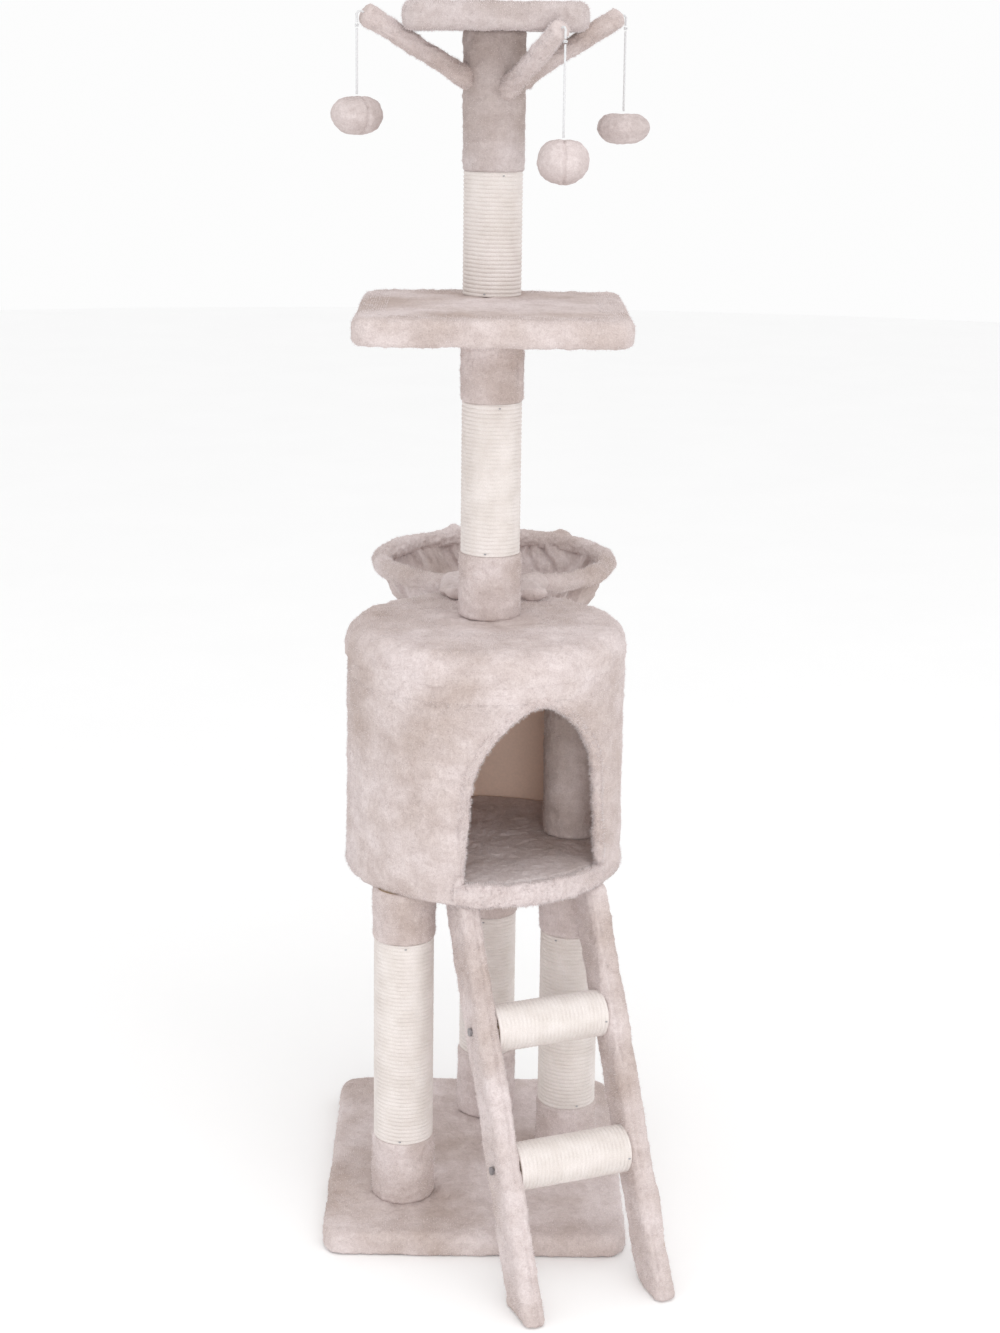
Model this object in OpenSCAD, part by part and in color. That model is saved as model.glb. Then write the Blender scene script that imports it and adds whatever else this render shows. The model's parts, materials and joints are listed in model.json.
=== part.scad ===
// Cat tree: plush-covered base, three rope posts, a round house with an arched door,
// a hanging basket behind it, a ladder, a square platform, a top perch and three hanging toys.
// Millimetres. Origin: centre of the base's underside. +Z up, -Y front, +X right.

/* [Base] */
// width of the base, left to right, over its cover
base_w = 341; // [280:1:420]
// depth of the base, front to back, over its cover
base_d = 402; // [330:1:480]
// thickness of the base over its cover
base_t = 26; // [20:1:40]
// corner radius of the base, seen from above
base_corner_r = 24; // [5:1:60]
// thickness of the plush on every board
plush_t = 4; // [2:0.5:6]

/* [Posts] */
// outer radius of the cardboard tube in every post
tube_r = 31.5; // [25:0.5:45]
// wall of the cardboard tube
tube_wall = 4; // [2:0.5:6]
// thickness of the layer of sisal rope
rope_t = 2.5; // [1.5:0.25:6]
// thickness of the plush sleeves at the post ends
sleeve_t = 4; // [2:0.5:8]
// height of the sleeves at the foot of the left and right lower posts
foot_sleeve_h = 74; // [40:1:110]
// height of the sleeve at the foot of the rear lower post
rear_foot_sleeve_h = 84; // [40:1:110]
// height of the sleeve at the head of the left lower post
left_head_sleeve_h = 60; // [40:1:110]
// height of the sleeve at the head of the right lower post
right_head_sleeve_h = 87; // [40:1:130]
// height of the sleeve at the head of the rear lower post
rear_head_sleeve_h = 113; // [40:1:150]
// how far the middle of the left lower post stands in from the house's edge
left_post_inset = 26.9; // [20:0.1:80]
// direction of the left lower post from the middle of the house, degrees
left_post_turn = 227.5; // [180:0.1:270]
// how far the middle of the rear lower post stands in from the house's edge
rear_post_inset = 40.3; // [20:0.1:80]
// direction of the rear lower post from the middle of the house, degrees
rear_post_turn = 86.4; // [45:0.1:135]
// how far the middle of the right lower post stands in from the house's edge
right_post_inset = 56.4; // [20:0.1:80]
// direction of the right lower post from the middle of the house, degrees
right_post_turn = -2.2; // [-45:0.1:45]

/* [House] */
// middle of the round house, seen from above
house_at = [6, -1];
// outer radius of the house over its plush
house_r = 158.5; // [120:0.5:200]
// height from the floor to the underside of the house
house_z = 401; // [300:1:520]
// height of the house, underside to roof
house_h = 283.5; // [200:0.5:380]
// thickness of the house's floor and roof boards
house_board_t = 15; // [9:1:20]
// thickness of the house's bare wall
wall_t = 3; // [2:0.5:6]
// thickness of the smooth lining inside the wall
lining_t = 2; // [1:0.5:4]
// gap between the post inside the house, which holds the roof up, and the lining
inner_post_gap = 5.6; // [1:0.1:20]
// direction of that post from the middle of the house, degrees
inner_post_turn = 14.4; // [-45:0.1:45]
// radius of the soft edge round the roof
roof_edge_r = 18; // [8:0.5:20]
// width of the doorway
door_w = 157; // [110:1:170]
// width of the doorway at its foot, which spreads a little
door_foot_w = 175; // [110:1:185]
// height of the doorway from the sill to the top of its arch
door_h = 206.5; // [150:0.5:215]
// rise of the doorway's arch above its straight sides
door_arch_h = 95.5; // [90:0.5:120]
// turn of the doorway to the right of straight ahead, in degrees
door_turn = 23.2; // [-40:0.5:40]

/* [Middle post, platform and perch] */
// middle post, from the middle of the base
middle_post = [9.7, 24.4];
// height of the sleeve at the foot of the middle post
middle_foot_sleeve_h = 75; // [40:1:120]
// height of the sleeve at the head of the middle post
middle_head_sleeve_h = 79; // [40:1:120]
// length of the middle post between the roof and the platform
middle_post_h = 327; // [240:1:420]
// middle of the platform
platform_at = [9, 15];
// width of the platform
platform_w = 299; // [250:1:360]
// depth of the platform
platform_d = 300; // [250:1:360]
// thickness of the platform over its cover
platform_t = 30.5; // [20:0.5:40]
// top post, from the middle of the base
top_post = [8.7, 118];
// length of the top post between the platform and the perch
top_post_h = 296.5; // [200:0.5:380]
// height of the long sleeve at the head of the top post
top_sleeve_h = 156; // [120:1:200]
// width of the perch
perch_w = 203; // [160:1:260]
// depth of the perch
perch_d = 209; // [160:1:260]
// thickness of the perch over its cover
perch_t = 30.5; // [20:0.5:40]

/* [Toy arms] */
// radius of an arm over its plush
arm_r = 11; // [8:0.5:16]
// radius of the dowel in an arm
dowel_r = 7; // [4:0.5:10]
// level distance from the post's axis to an arm's end
arm_reach = 162; // [140:1:200]
// level distance from the post's axis to the front arm's end
front_arm_reach = 155; // [140:1:200]
// height of the arms' feet above the platform
arm_foot_h = 244; // [200:1:280]
// how much lower the front arm's foot is than the other two
front_arm_drop = 11; // [0:1:30]
// slope of the arms above level, in degrees
arm_slope = 29; // [15:0.5:40]
// length of the left toy's string
left_string = 71; // [60:1:160]
// length of the right toy's string
right_string = 91; // [60:1:160]
// length of the front toy's string
front_string = 98; // [60:1:180]
// thickness of the strings
string_d = 2.6; // [2:0.1:3.5]
// width of the left toy
left_ball_w = 57; // [40:1:80]
// height of the left toy
left_ball_h = 44; // [30:1:80]
// width of the right toy
right_ball_w = 61; // [40:1:80]
// height of the right toy
right_ball_h = 38; // [30:1:80]
// width of the front toy
front_ball_w = 57; // [40:1:80]
// height of the front toy
front_ball_h = 50; // [30:1:80]

/* [Basket] */
// middle of the basket's hoop
basket_at = [16, 311];
// outer radius of the padded hoop
basket_r = 154; // [120:1:190]
// radius of the padded rim's section
rim_r = 11.5; // [8:0.5:16]
// radius of the hoop's steel rod
rod_r = 4; // [2.5:0.5:6]
// depth of the basket below the hoop
basket_depth = 112; // [70:1:160]
// thickness of the basket's plush
basket_t = 4; // [3:0.5:8]
// how far the basket's legs reach forward of its rim
leg_reach = 64; // [50:1:90]
// distance between the basket's two legs
leg_gap = 92; // [50:1:160]

/* [Ladder] */
// distance between the middles of the two rails
rail_gap = 155; // [120:1:200]
// thickness of a rail over its plush
rail_t = 26; // [16:0.5:34]
// width of a rail over its plush
rail_w = 53; // [40:1:80]
// slope of the ladder from upright, in degrees
ladder_slope = 27.5; // [15:0.5:35]
// turn of the ladder to the right, in degrees
ladder_turn = 21.3; // [0:0.5:30]
// middle of the rails where the ladder meets the house's underside
ladder_top = [52.2, -97.7];
// radius of a rung over its rope
rung_r = 26; // [18:0.5:32]
// height of the lower rung's axis
lower_rung_z = 136; // [90:1:180]
// height of the upper rung's axis
upper_rung_z = 268; // [220:1:320]

/* [Hidden] */
fine = 96;
gap = 0.3;             // clearance between pieces of different bodies
bolt_r = 4;
bolt_head_r = 9;
bolt_head_h = 5;
screw_r = 2;
screw_head_r = 4.5;
screw_head_h = 2.5;
plug_h = 22;

// a point this far from the middle of the house, in this direction, seen from above
function from_house(r, turn) = house_at + r * [cos(turn), sin(turn)];

sisal_r = tube_r + rope_t;
sleeve_r = tube_r + sleeve_t;
lower_post_h = house_z - base_t;
roof_z = house_z + house_h;
floor_top_z = house_z + house_board_t + 2 * plush_t;
roof_under_z = roof_z - house_board_t - 2 * plush_t;
wall_r = house_r - plush_t;
lining_r = wall_r - wall_t;
room_r = lining_r - lining_t;
left_post = from_house(house_r - left_post_inset, left_post_turn);
rear_post = from_house(house_r - rear_post_inset, rear_post_turn);
right_post = from_house(house_r - right_post_inset, right_post_turn);
inner_post = from_house(room_r - inner_post_gap - sleeve_r, inner_post_turn);
platform_z = roof_z + middle_post_h;
platform_top_z = platform_z + platform_t;
perch_z = platform_top_z + top_post_h;
perch_top_z = perch_z + perch_t;
arm_foot_z = platform_top_z + arm_foot_h;
left_arm_turn = 207;   // degrees from +X, anticlockwise from above
right_arm_turn = 27;
front_arm_turn = -63;
knot_r = 2.6;
knot_out = 8;          // knot's distance outside the arm's end, level
knot_down = 14;        // and below the middle of the arm's end
loop_r = 1.3;
hoop_r = basket_r - rim_r;
hoop_z = roof_z - 2;
leg_wrap_r = 6.5;
leg_z = roof_z + leg_wrap_r;
leg_end_y = basket_at[1] - basket_r - leg_reach;
leg_screw_in = 12;     // screw's distance from a leg's end
ladder_screw_back = 8; // screws behind the middle of a rail's top
leg_clear = 1.5;       // between a leg and the hoop's rod
bowl_foot_r = 62;
rail_board_t = rail_t - 2 * plush_t;
rail_board_w = rail_w - 2 * plush_t;
rung_length = rail_gap - rail_t;
rail_length = house_z / cos(ladder_slope);
rail_corner_r = 7;
rung_tube_r = rung_r - rope_t;
rung_tube_wall = 3;
platform_corner_r = 22;
perch_corner_r = 20;

plush = [0.80, 0.76, 0.73];
lining = [0.86, 0.82, 0.79];
rope = [0.90, 0.86, 0.78];
card = [0.66, 0.55, 0.42];
timber = [0.76, 0.64, 0.48];
metal = [0.62, 0.62, 0.63];
thread = [0.95, 0.95, 0.95];

// ---- shared shapes ----

// rectangle with round corners
module round_rect(w, d, r) {
  square([w - 2 * r, d], center = true);
  square([w, d - 2 * r], center = true);
  for (x = [-1, 1], y = [-1, 1])
    translate([x * (w / 2 - r), y * (d / 2 - r)]) circle(r, $fn = fine);
}

module round_slab(w, d, t, r) {
  linear_extrude(t) round_rect(w, d, r);
}

module ring(r_out, r_in, h) {
  difference() {
    cylinder(h = h, r = r_out, $fn = fine);
    translate([0, 0, -1]) cylinder(h = h + 2, r = r_in, $fn = fine);
  }
}

// straight rod between two points
module rod(a, b, r) {
  v = b - a;
  translate(a) rotate([0, acos(v[2] / norm(v)), atan2(v[1], v[0])])
    cylinder(h = norm(v), r = r, $fn = fine / 2);
}

// plush cover round a flat board, with the board's room inside it
module slab_cover(w, d, t, r) {
  difference() {
    round_slab(w, d, t, r);
    translate([0, 0, plush_t])
      round_slab(w - 2 * plush_t, d - 2 * plush_t, t - 2 * plush_t, r - plush_t);
  }
}

module slab_board(w, d, t, r) {
  translate([0, 0, plush_t])
    round_slab(w - 2 * plush_t, d - 2 * plush_t, t - 2 * plush_t, r - plush_t);
}

// tube swept along points: one ring of corners for each point, closed at both ends
function cord_dir(p, i) =
  let (a = p[max(i - 1, 0)], b = p[min(i + 1, len(p) - 1)]) (b - a) / norm(b - a);
function cord_ring(c, d, r, sides) =
  let (s = abs(d[0]) < 0.9 ? cross(d, [1, 0, 0]) : cross(d, [0, 1, 0]),
       u = s / norm(s), v = cross(d, u))
  [for (k = [0 : sides - 1]) c + r * (cos(360 * k / sides) * u + sin(360 * k / sides) * v)];
module cord(p, r, sides) {
  n = len(p);
  points = [for (i = [0 : n - 1]) each cord_ring(p[i], cord_dir(p, i), r, sides)];
  walls = [for (i = [0 : n - 2], k = [0 : sides - 1]) let (m = (k + 1) % sides)
    [i * sides + k, i * sides + m, (i + 1) * sides + m, (i + 1) * sides + k]];
  ends = [[for (k = [sides - 1 : -1 : 0]) k], [for (k = [0 : sides - 1]) (n - 1) * sides + k]];
  polyhedron(points, concat(walls, ends), convexity = 4);
}

// ---- posts ----

module bolt_holes(z, h) {
  for (p = [left_post, rear_post, right_post])
    translate([p[0], p[1], z]) cylinder(h = h, r = bolt_r, $fn = fine / 2);
}

module bolt_recesses() {
  for (p = [left_post, rear_post, right_post])
    translate([p[0], p[1], -1]) cylinder(h = bolt_head_h + 2, r = bolt_head_r, $fn = fine / 2);
}

module post_tube(at, z, h) {
  color(card) translate([at[0], at[1], z]) ring(tube_r, tube_r - tube_wall, h);
}

module post_sisal(at, z, h) {
  color(rope) translate([at[0], at[1], z]) ring(sisal_r, tube_r, h);
}

module post_sleeve(at, z, h) {
  color(plush) translate([at[0], at[1], z]) ring(sleeve_r, tube_r, h);
}

// turned wooden plug that closes a tube's end and takes the bolt
module end_plug(at, z) {
  translate([at[0], at[1], z]) ring(tube_r - tube_wall, bolt_r, plug_h);
}

module post_end_plugs() {
  color(timber) {
    for (p = [left_post, rear_post, right_post]) {
      end_plug(p, base_t);
      end_plug(p, house_z - plug_h);
    }
    end_plug(middle_post, roof_z);
    end_plug(middle_post, platform_z - plug_h);
    end_plug(top_post, platform_top_z);
    end_plug(top_post, perch_z - plug_h);
  }
}

module bolt(at, z, h) {
  translate([at[0], at[1], z]) {
    cylinder(h = bolt_head_h, r = bolt_head_r, $fn = fine / 2);
    cylinder(h = h, r = bolt_r, $fn = fine / 2);
  }
}

module post_bolts() {
  color(metal) {
    for (p = [left_post, rear_post, right_post]) {
      bolt(p, 1, base_t + plug_h - 1);
      stud(p, house_z - plug_h, plug_h + plush_t + house_board_t);
    }
    stud(middle_post, roof_z - plush_t - house_board_t, plug_h + plush_t + house_board_t);
    stud(middle_post, platform_z - plug_h, plug_h + platform_t - plush_t);
    stud(top_post, platform_z + plush_t, plug_h + platform_t - plush_t);
    stud(top_post, perch_z - plug_h, plug_h + perch_t - plush_t);
  }
}

module stud(at, z, h) {
  translate([at[0], at[1], z]) cylinder(h = h, r = bolt_r, $fn = fine / 2);
}

// ---- base ----

module base_board() {
  color(timber) difference() {
    slab_board(base_w, base_d, base_t, base_corner_r);
    bolt_holes(-1, base_t + 2);
    bolt_recesses();
  }
}

module base_cover() {
  color(plush) difference() {
    slab_cover(base_w, base_d, base_t, base_corner_r);
    bolt_holes(-1, base_t + 2);
    bolt_recesses();
  }
}

module left_post_tube() post_tube(left_post, base_t, lower_post_h);
module rear_post_tube() post_tube(rear_post, base_t, lower_post_h);
module right_post_tube() post_tube(right_post, base_t, lower_post_h);

module lower_sisal(at, foot_h, head_h) {
  post_sisal(at, base_t + foot_h, lower_post_h - foot_h - head_h);
}

module left_post_sisal() lower_sisal(left_post, foot_sleeve_h, left_head_sleeve_h);
module rear_post_sisal() lower_sisal(rear_post, rear_foot_sleeve_h, rear_head_sleeve_h);
module right_post_sisal() lower_sisal(right_post, foot_sleeve_h, right_head_sleeve_h);
module left_post_lower_sleeve() post_sleeve(left_post, base_t, foot_sleeve_h);
module rear_post_lower_sleeve() post_sleeve(rear_post, base_t, rear_foot_sleeve_h);
module right_post_lower_sleeve() post_sleeve(right_post, base_t, foot_sleeve_h);

module head_sleeve(at, h) post_sleeve(at, house_z - h, h);
module left_post_upper_sleeve() head_sleeve(left_post, left_head_sleeve_h);
module rear_post_upper_sleeve() head_sleeve(rear_post, rear_head_sleeve_h);
module right_post_upper_sleeve() head_sleeve(right_post, right_head_sleeve_h);

// ---- house ----

module at_house(z) {
  translate([house_at[0], house_at[1], z]) children();
}

// the doorway as a prism through the front wall, from the sill up
// leaning sides under a slightly pointed arch of two arcs
module door_prism(w, sill_z, top_z) {
  spring = top_z - door_arch_h;
  // how far past the middle each arc's centre lies
  lean = (door_arch_h * door_arch_h - w * w / 4) / w;
  translate([house_at[0], house_at[1], 0]) rotate([0, 0, door_turn])
    rotate([90, 0, 0]) linear_extrude(house_r + 20) {
      polygon([[-door_foot_w / 2, sill_z], [door_foot_w / 2, sill_z],
               [w / 2, spring], [-w / 2, spring]]);
      intersection() {
        translate([-lean, spring]) circle(w / 2 + lean, $fn = fine);
        translate([lean, spring]) circle(w / 2 + lean, $fn = fine);
        translate([-w / 2 - 1, spring - 1]) square([w + 2, door_arch_h + 2]);
      }
    }
}

module house_floor_board() {
  color(timber) difference() {
    at_house(house_z + plush_t)
      cylinder(h = house_board_t, r = room_r - plush_t, $fn = fine);
    bolt_holes(house_z, house_board_t + plush_t);
    ladder_screws();
  }
}

module house_floor_cover() {
  color(plush) difference() {
    union() {
      at_house(house_z) cylinder(h = floor_top_z - house_z, r = room_r, $fn = fine);
      intersection() {
        at_house(house_z) cylinder(h = floor_top_z - house_z, r = house_r - 1, $fn = fine);
        door_prism(door_w, house_z - 1, floor_top_z + door_h);
      }
    }
    at_house(house_z + plush_t)
      cylinder(h = house_board_t, r = room_r - plush_t, $fn = fine);
    bolt_holes(house_z - 1, plush_t + 2);
    ladder_screws();
  }
}

module house_tube(r_out, r_in) {
  difference() {
    at_house(house_z) ring(r_out, r_in, roof_under_z - house_z);
    door_prism(door_w, house_z - 1, floor_top_z + door_h);
  }
}

module house_wall() {
  color(timber) house_tube(wall_r, lining_r);
}

module house_wall_cover() {
  color(plush) house_tube(house_r, wall_r);
}

module house_wall_lining() {
  color(lining) house_tube(lining_r, room_r);
}

module house_roof_board() {
  color(timber) difference() {
    at_house(roof_under_z + plush_t)
      cylinder(h = house_board_t, r = house_r - roof_edge_r, $fn = fine);
    stud(middle_post, roof_under_z, roof_z - roof_under_z);
    basket_screws();
  }
}

// flat roof with its top edge rolled over in one arc
module roof_solid() {
  edge_x = house_r - roof_edge_r;
  edge_z = roof_z - roof_under_z - roof_edge_r;
  rotate_extrude($fn = fine) {
    square([edge_x, roof_z - roof_under_z]);
    square([house_r, edge_z]);
    intersection() {
      translate([edge_x, edge_z]) circle(roof_edge_r, $fn = fine);
      translate([edge_x, edge_z]) square(roof_edge_r);
    }
  }
}

module house_roof_cover() {
  color(plush) difference() {
    at_house(roof_under_z) roof_solid();
    at_house(roof_under_z + plush_t)
      cylinder(h = house_board_t, r = house_r - roof_edge_r, $fn = fine);
    stud(middle_post, roof_z - plush_t - 1, plush_t + 2);
    basket_screws();
  }
}

// plush-covered post between the floor and the roof, above the right lower post
module house_inner_post() {
  color(plush) translate([inner_post[0], inner_post[1], floor_top_z])
    ring(sleeve_r, tube_r - tube_wall, roof_under_z - floor_top_z);
}

// ---- basket ----

// padded legs that run forward from the hoop and lie on the roof
module basket_legs() {
  color(plush) difference() {
    for (s = [-1, 1]) {
      x = basket_at[0] + s * leg_gap / 2;
      back_y = basket_at[1] - sqrt(hoop_r * hoop_r - leg_gap * leg_gap / 4);
      rod([x, leg_end_y, leg_z], [x, back_y - rod_r - leg_clear, leg_z], leg_wrap_r);
    }
    basket_screws();
  }
}

module hoop_torus(r) {
  translate([basket_at[0], basket_at[1], hoop_z])
    rotate_extrude($fn = fine) translate([hoop_r, 0]) circle(r, $fn = fine / 2);
}

module basket_hoop() {
  color(metal) hoop_torus(rod_r);
}

module basket_rim_wrap() {
  color(plush) difference() {
    hoop_torus(rim_r);
    hoop_torus(rod_r);
  }
}

// half section of the bowl's outside, from the rim down to the flat foot
function bowl_wall(r_top, r_foot, depth, steps) =
  [for (i = [0 : steps]) let (down = i / steps)
    [r_foot + (r_top - r_foot) * (1 - pow(down, 1.5)), -depth * down]];

module basket_bowl() {
  color(plush) difference() {
    translate([basket_at[0], basket_at[1], hoop_z]) rotate_extrude($fn = fine)
      polygon(concat(
        bowl_wall(hoop_r, bowl_foot_r, basket_depth, 10),
        [[0, -basket_depth], [0, -basket_depth + basket_t]],
        [for (i = [10 : -1 : 0])
          bowl_wall(hoop_r - basket_t, bowl_foot_r, basket_depth - basket_t, 10)[i]]));
    hoop_torus(rim_r);
  }
}

// ---- middle post, platform, top post, perch ----

module middle_post_tube() post_tube(middle_post, roof_z, middle_post_h);
module middle_post_sisal() post_sisal(middle_post, roof_z + middle_foot_sleeve_h,
  middle_post_h - middle_foot_sleeve_h - middle_head_sleeve_h);
module middle_post_lower_sleeve() post_sleeve(middle_post, roof_z, middle_foot_sleeve_h);
module middle_post_upper_sleeve() {
  post_sleeve(middle_post, platform_z - middle_head_sleeve_h, middle_head_sleeve_h);
}

module at_platform() {
  translate([platform_at[0], platform_at[1], platform_z]) children();
}

module platform_studs() {
  stud(middle_post, platform_z - 1, 1 + platform_t - plush_t);
  stud(top_post, platform_z + plush_t, platform_t);
}

module platform_board() {
  color(timber) difference() {
    at_platform() slab_board(platform_w, platform_d, platform_t, platform_corner_r);
    platform_studs();
  }
}

module platform_cover() {
  color(plush) difference() {
    at_platform() slab_cover(platform_w, platform_d, platform_t, platform_corner_r);
    platform_studs();
  }
}

module top_post_tube() {
  difference() {
    post_tube(top_post, platform_top_z, top_post_h);
    all_arms(dowel_r, 0);
  }
}

module top_post_sisal() post_sisal(top_post, platform_top_z, top_post_h - top_sleeve_h);

module top_post_sleeve() {
  difference() {
    post_sleeve(top_post, perch_z - top_sleeve_h, top_sleeve_h);
    all_arms(arm_r, 0);
  }
}

module at_perch() {
  translate([top_post[0], top_post[1], perch_z]) children();
}

module perch_board() {
  color(timber) difference() {
    at_perch() slab_board(perch_w, perch_d, perch_t, perch_corner_r);
    stud(top_post, perch_z - 1, 1 + perch_t - plush_t);
  }
}

module perch_cover() {
  color(plush) difference() {
    at_perch() slab_cover(perch_w, perch_d, perch_t, perch_corner_r);
    stud(top_post, perch_z - 1, 1 + perch_t - plush_t);
    all_arms(arm_r + gap, 0);
  }
}

// ---- toy arms ----

function arm_level(turn) = [cos(turn), sin(turn), 0];
function arm_point(turn, reach) =
  [top_post[0], top_post[1], arm_foot_z - (turn == front_arm_turn ? front_arm_drop : 0)]
  + reach * arm_level(turn) + [0, 0, (reach - sleeve_r) * tan(arm_slope)];
function arm_end(turn) = turn == front_arm_turn ? front_arm_reach : arm_reach;

module arm(turn, r, start, short) {
  rod(arm_point(turn, start), arm_point(turn, arm_end(turn) - short), r);
}

module all_arms(r, short) {
  for (turn = [left_arm_turn, right_arm_turn, front_arm_turn])
    arm(turn, r, tube_r - tube_wall - 1, short);
}

module arm_dowels() {
  color(timber) difference() {
    all_arms(dowel_r, plush_t);
    translate([top_post[0], top_post[1], platform_top_z])
      cylinder(h = top_post_h, r = tube_r - tube_wall, $fn = fine);
  }
}

module arm_cover(turn) {
  color(plush) difference() {
    arm(turn, arm_r, tube_r - tube_wall, 0);
    arm(turn, dowel_r, 0, plush_t);
    translate([top_post[0], top_post[1], platform_top_z])
      cylinder(h = top_post_h, r = tube_r, $fn = fine);
  }
}

module left_arm_cover() arm_cover(left_arm_turn);
module right_arm_cover() arm_cover(right_arm_turn);
module front_arm_cover() arm_cover(front_arm_turn);

// ---- hanging toys ----

function knot_at(turn) =
  arm_point(turn, arm_end(turn)) + knot_out * arm_level(turn) + [0, 0, -knot_down];

// short loop of string from the arm's end down to just above the knot
function loop_route(turn) =
  let (tip = arm_point(turn, arm_end(turn)), out = arm_level(turn), k = knot_at(turn))
  [tip - 3 * out + [0, 0, -1.5], tip + 2 * out + [0, 0, 1], tip + 6 * out + [0, 0, 1],
   tip + 8.5 * out + [0, 0, -2], k + [0, 0, 8], k + [0, 0, knot_r + gap]];

module toy_loops() {
  color(thread) difference() {
    for (turn = [left_arm_turn, right_arm_turn, front_arm_turn])
      cord(loop_route(turn), loop_r, 8);
    for (turn = [left_arm_turn, right_arm_turn, front_arm_turn])
      arm(turn, arm_r, 100, 0);
  }
}

module toy_knot(turn) {
  color(thread) translate(knot_at(turn)) sphere(knot_r, $fn = fine / 2);
}

// string's points, measured down from the knot: they hang straight
string_steps = [0, 1 / 5, 2 / 5, 3 / 5, 4 / 5, 1];

module toy_string(turn, length) {
  top = knot_at(turn) - [0, 0, knot_r + gap];
  color(thread) cord([for (s = string_steps) top - [0, 0, s * length]], string_d / 2, 8);
}

// flattened ball of plush, its top at the string's end
module toy_ball(turn, length, w, h) {
  top = knot_at(turn) - [0, 0, knot_r + gap + length];
  steps = 24;
  color(plush) translate(top - [0, 0, h / 2]) rotate_extrude($fn = fine)
    polygon([for (i = [0 : steps]) let (a = -90 + 180 * i / steps)
      [w / 2 * cos(a), h / 2 * sin(a)]]);
}

module left_toy_knot() toy_knot(left_arm_turn);
module left_toy_string() toy_string(left_arm_turn, left_string);
module left_toy_ball() toy_ball(left_arm_turn, left_string, left_ball_w, left_ball_h);
module right_toy_knot() toy_knot(right_arm_turn);
module right_toy_string() toy_string(right_arm_turn, right_string);
module right_toy_ball() toy_ball(right_arm_turn, right_string, right_ball_w, right_ball_h);
module front_toy_knot() toy_knot(front_arm_turn);
module front_toy_string() toy_string(front_arm_turn, front_string);
module front_toy_ball() toy_ball(front_arm_turn, front_string, front_ball_w, front_ball_h);

// ---- ladder ----

// the ladder's own frame: X along the rungs, Z down the rails, Y through their width
module at_ladder(x) {
  translate([ladder_top[0], ladder_top[1], house_z]) rotate([0, 0, ladder_turn])
    rotate([180 - ladder_slope, 0, 0]) translate([x, 0, 0]) children();
}

// a rail's section run past both ends, then cut level at the floor and under the house
module rail_solid(side, t, w, r, foot) {
  intersection() {
    at_ladder(side * rail_gap / 2) translate([0, 0, -rail_w])
      linear_extrude(rail_length + 2 * rail_w) round_rect(t, w, r);
    translate([ladder_top[0], ladder_top[1] - 100, foot])
      translate([-400, -400, 0]) cube([800, 800, house_z - 2 * foot]);
  }
}

module rung(z, r_out, r_in, length) {
  down = (house_z - z) / cos(ladder_slope);
  at_ladder(-length / 2) translate([0, 0, down]) rotate([0, 90, 0]) ring(r_out, r_in, length);
}

module rung_screw_row() {
  for (side = [-1, 1], z = [lower_rung_z, upper_rung_z])
    at_ladder(side * (rail_gap / 2)) translate([0, 0, (house_z - z) / cos(ladder_slope)])
      rotate([0, side * 90, 0]) children();
}

module rung_screws() {
  rung_screw_row() {
    translate([0, 0, rail_t / 2 - 1]) cylinder(h = screw_head_h, r = screw_head_r, $fn = fine / 2);
    translate([0, 0, -rail_t / 2 - 10]) cylinder(h = rail_t + 10, r = screw_r, $fn = fine / 2);
  }
}

module rail_boards() {
  color(timber) difference() {
    for (side = [-1, 1])
      rail_solid(side, rail_board_t, rail_board_w, rail_corner_r - plush_t, plush_t);
    rung_screws();
    ladder_screws();
  }
}

module rail_cover(side) {
  color(plush) difference() {
    rail_solid(side, rail_t, rail_w, rail_corner_r, 0);
    rail_solid(side, rail_board_t, rail_board_w, rail_corner_r - plush_t, plush_t);
    rung_screws();
    ladder_screws();
  }
}

module left_rail_cover() rail_cover(-1);
module right_rail_cover() rail_cover(1);

module rung_tubes() {
  color(card) difference() {
    union() {
      rung(lower_rung_z, rung_tube_r, rung_tube_r - rung_tube_wall, rung_length);
      rung(upper_rung_z, rung_tube_r, rung_tube_r - rung_tube_wall, rung_length);
      for (z = [lower_rung_z, upper_rung_z], side = [-1, 1]) {
        down = (house_z - z) / cos(ladder_slope);
        at_ladder(side * (rung_length / 2 - 6) - 6) translate([0, 0, down])
          rotate([0, 90, 0]) cylinder(h = 12, r = rung_tube_r - 0.5, $fn = fine);
      }
    }
    rung_screws();
  }
}

module lower_rung_sisal() {
  color(rope) rung(lower_rung_z, rung_r, rung_tube_r, rung_length);
}

module upper_rung_sisal() {
  color(rope) rung(upper_rung_z, rung_r, rung_tube_r, rung_length);
}

// ---- screws that hold the basket and the ladder to the house ----

module basket_screws() {
  for (s = [-1, 1])
    translate([basket_at[0] + s * leg_gap / 2, leg_end_y + leg_screw_in, 0]) {
      translate([0, 0, roof_z - plush_t - 10])
        cylinder(h = leg_z + rod_r + plush_t + 10 - roof_z, r = screw_r, $fn = fine / 2);
      translate([0, 0, leg_z + rod_r])
        cylinder(h = screw_head_h, r = screw_head_r, $fn = fine / 2);
    }
}

// upright screws through the rails' tops into the floor board
module ladder_screws() {
  for (side = [-1, 1])
    at_ladder_top(side) translate([0, 0, -24])
      cylinder(h = 24 + plush_t + house_board_t - 5, r = screw_r, $fn = fine / 2);
}

module at_ladder_top(side) {
  translate([ladder_top[0], ladder_top[1], house_z])
    rotate([0, 0, ladder_turn])
      translate([side * rail_gap / 2, ladder_screw_back, 0]) children();
}

module frame_screws() {
  color(metal) {
    rung_screws();
    ladder_screws();
    basket_screws();
  }
}

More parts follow.
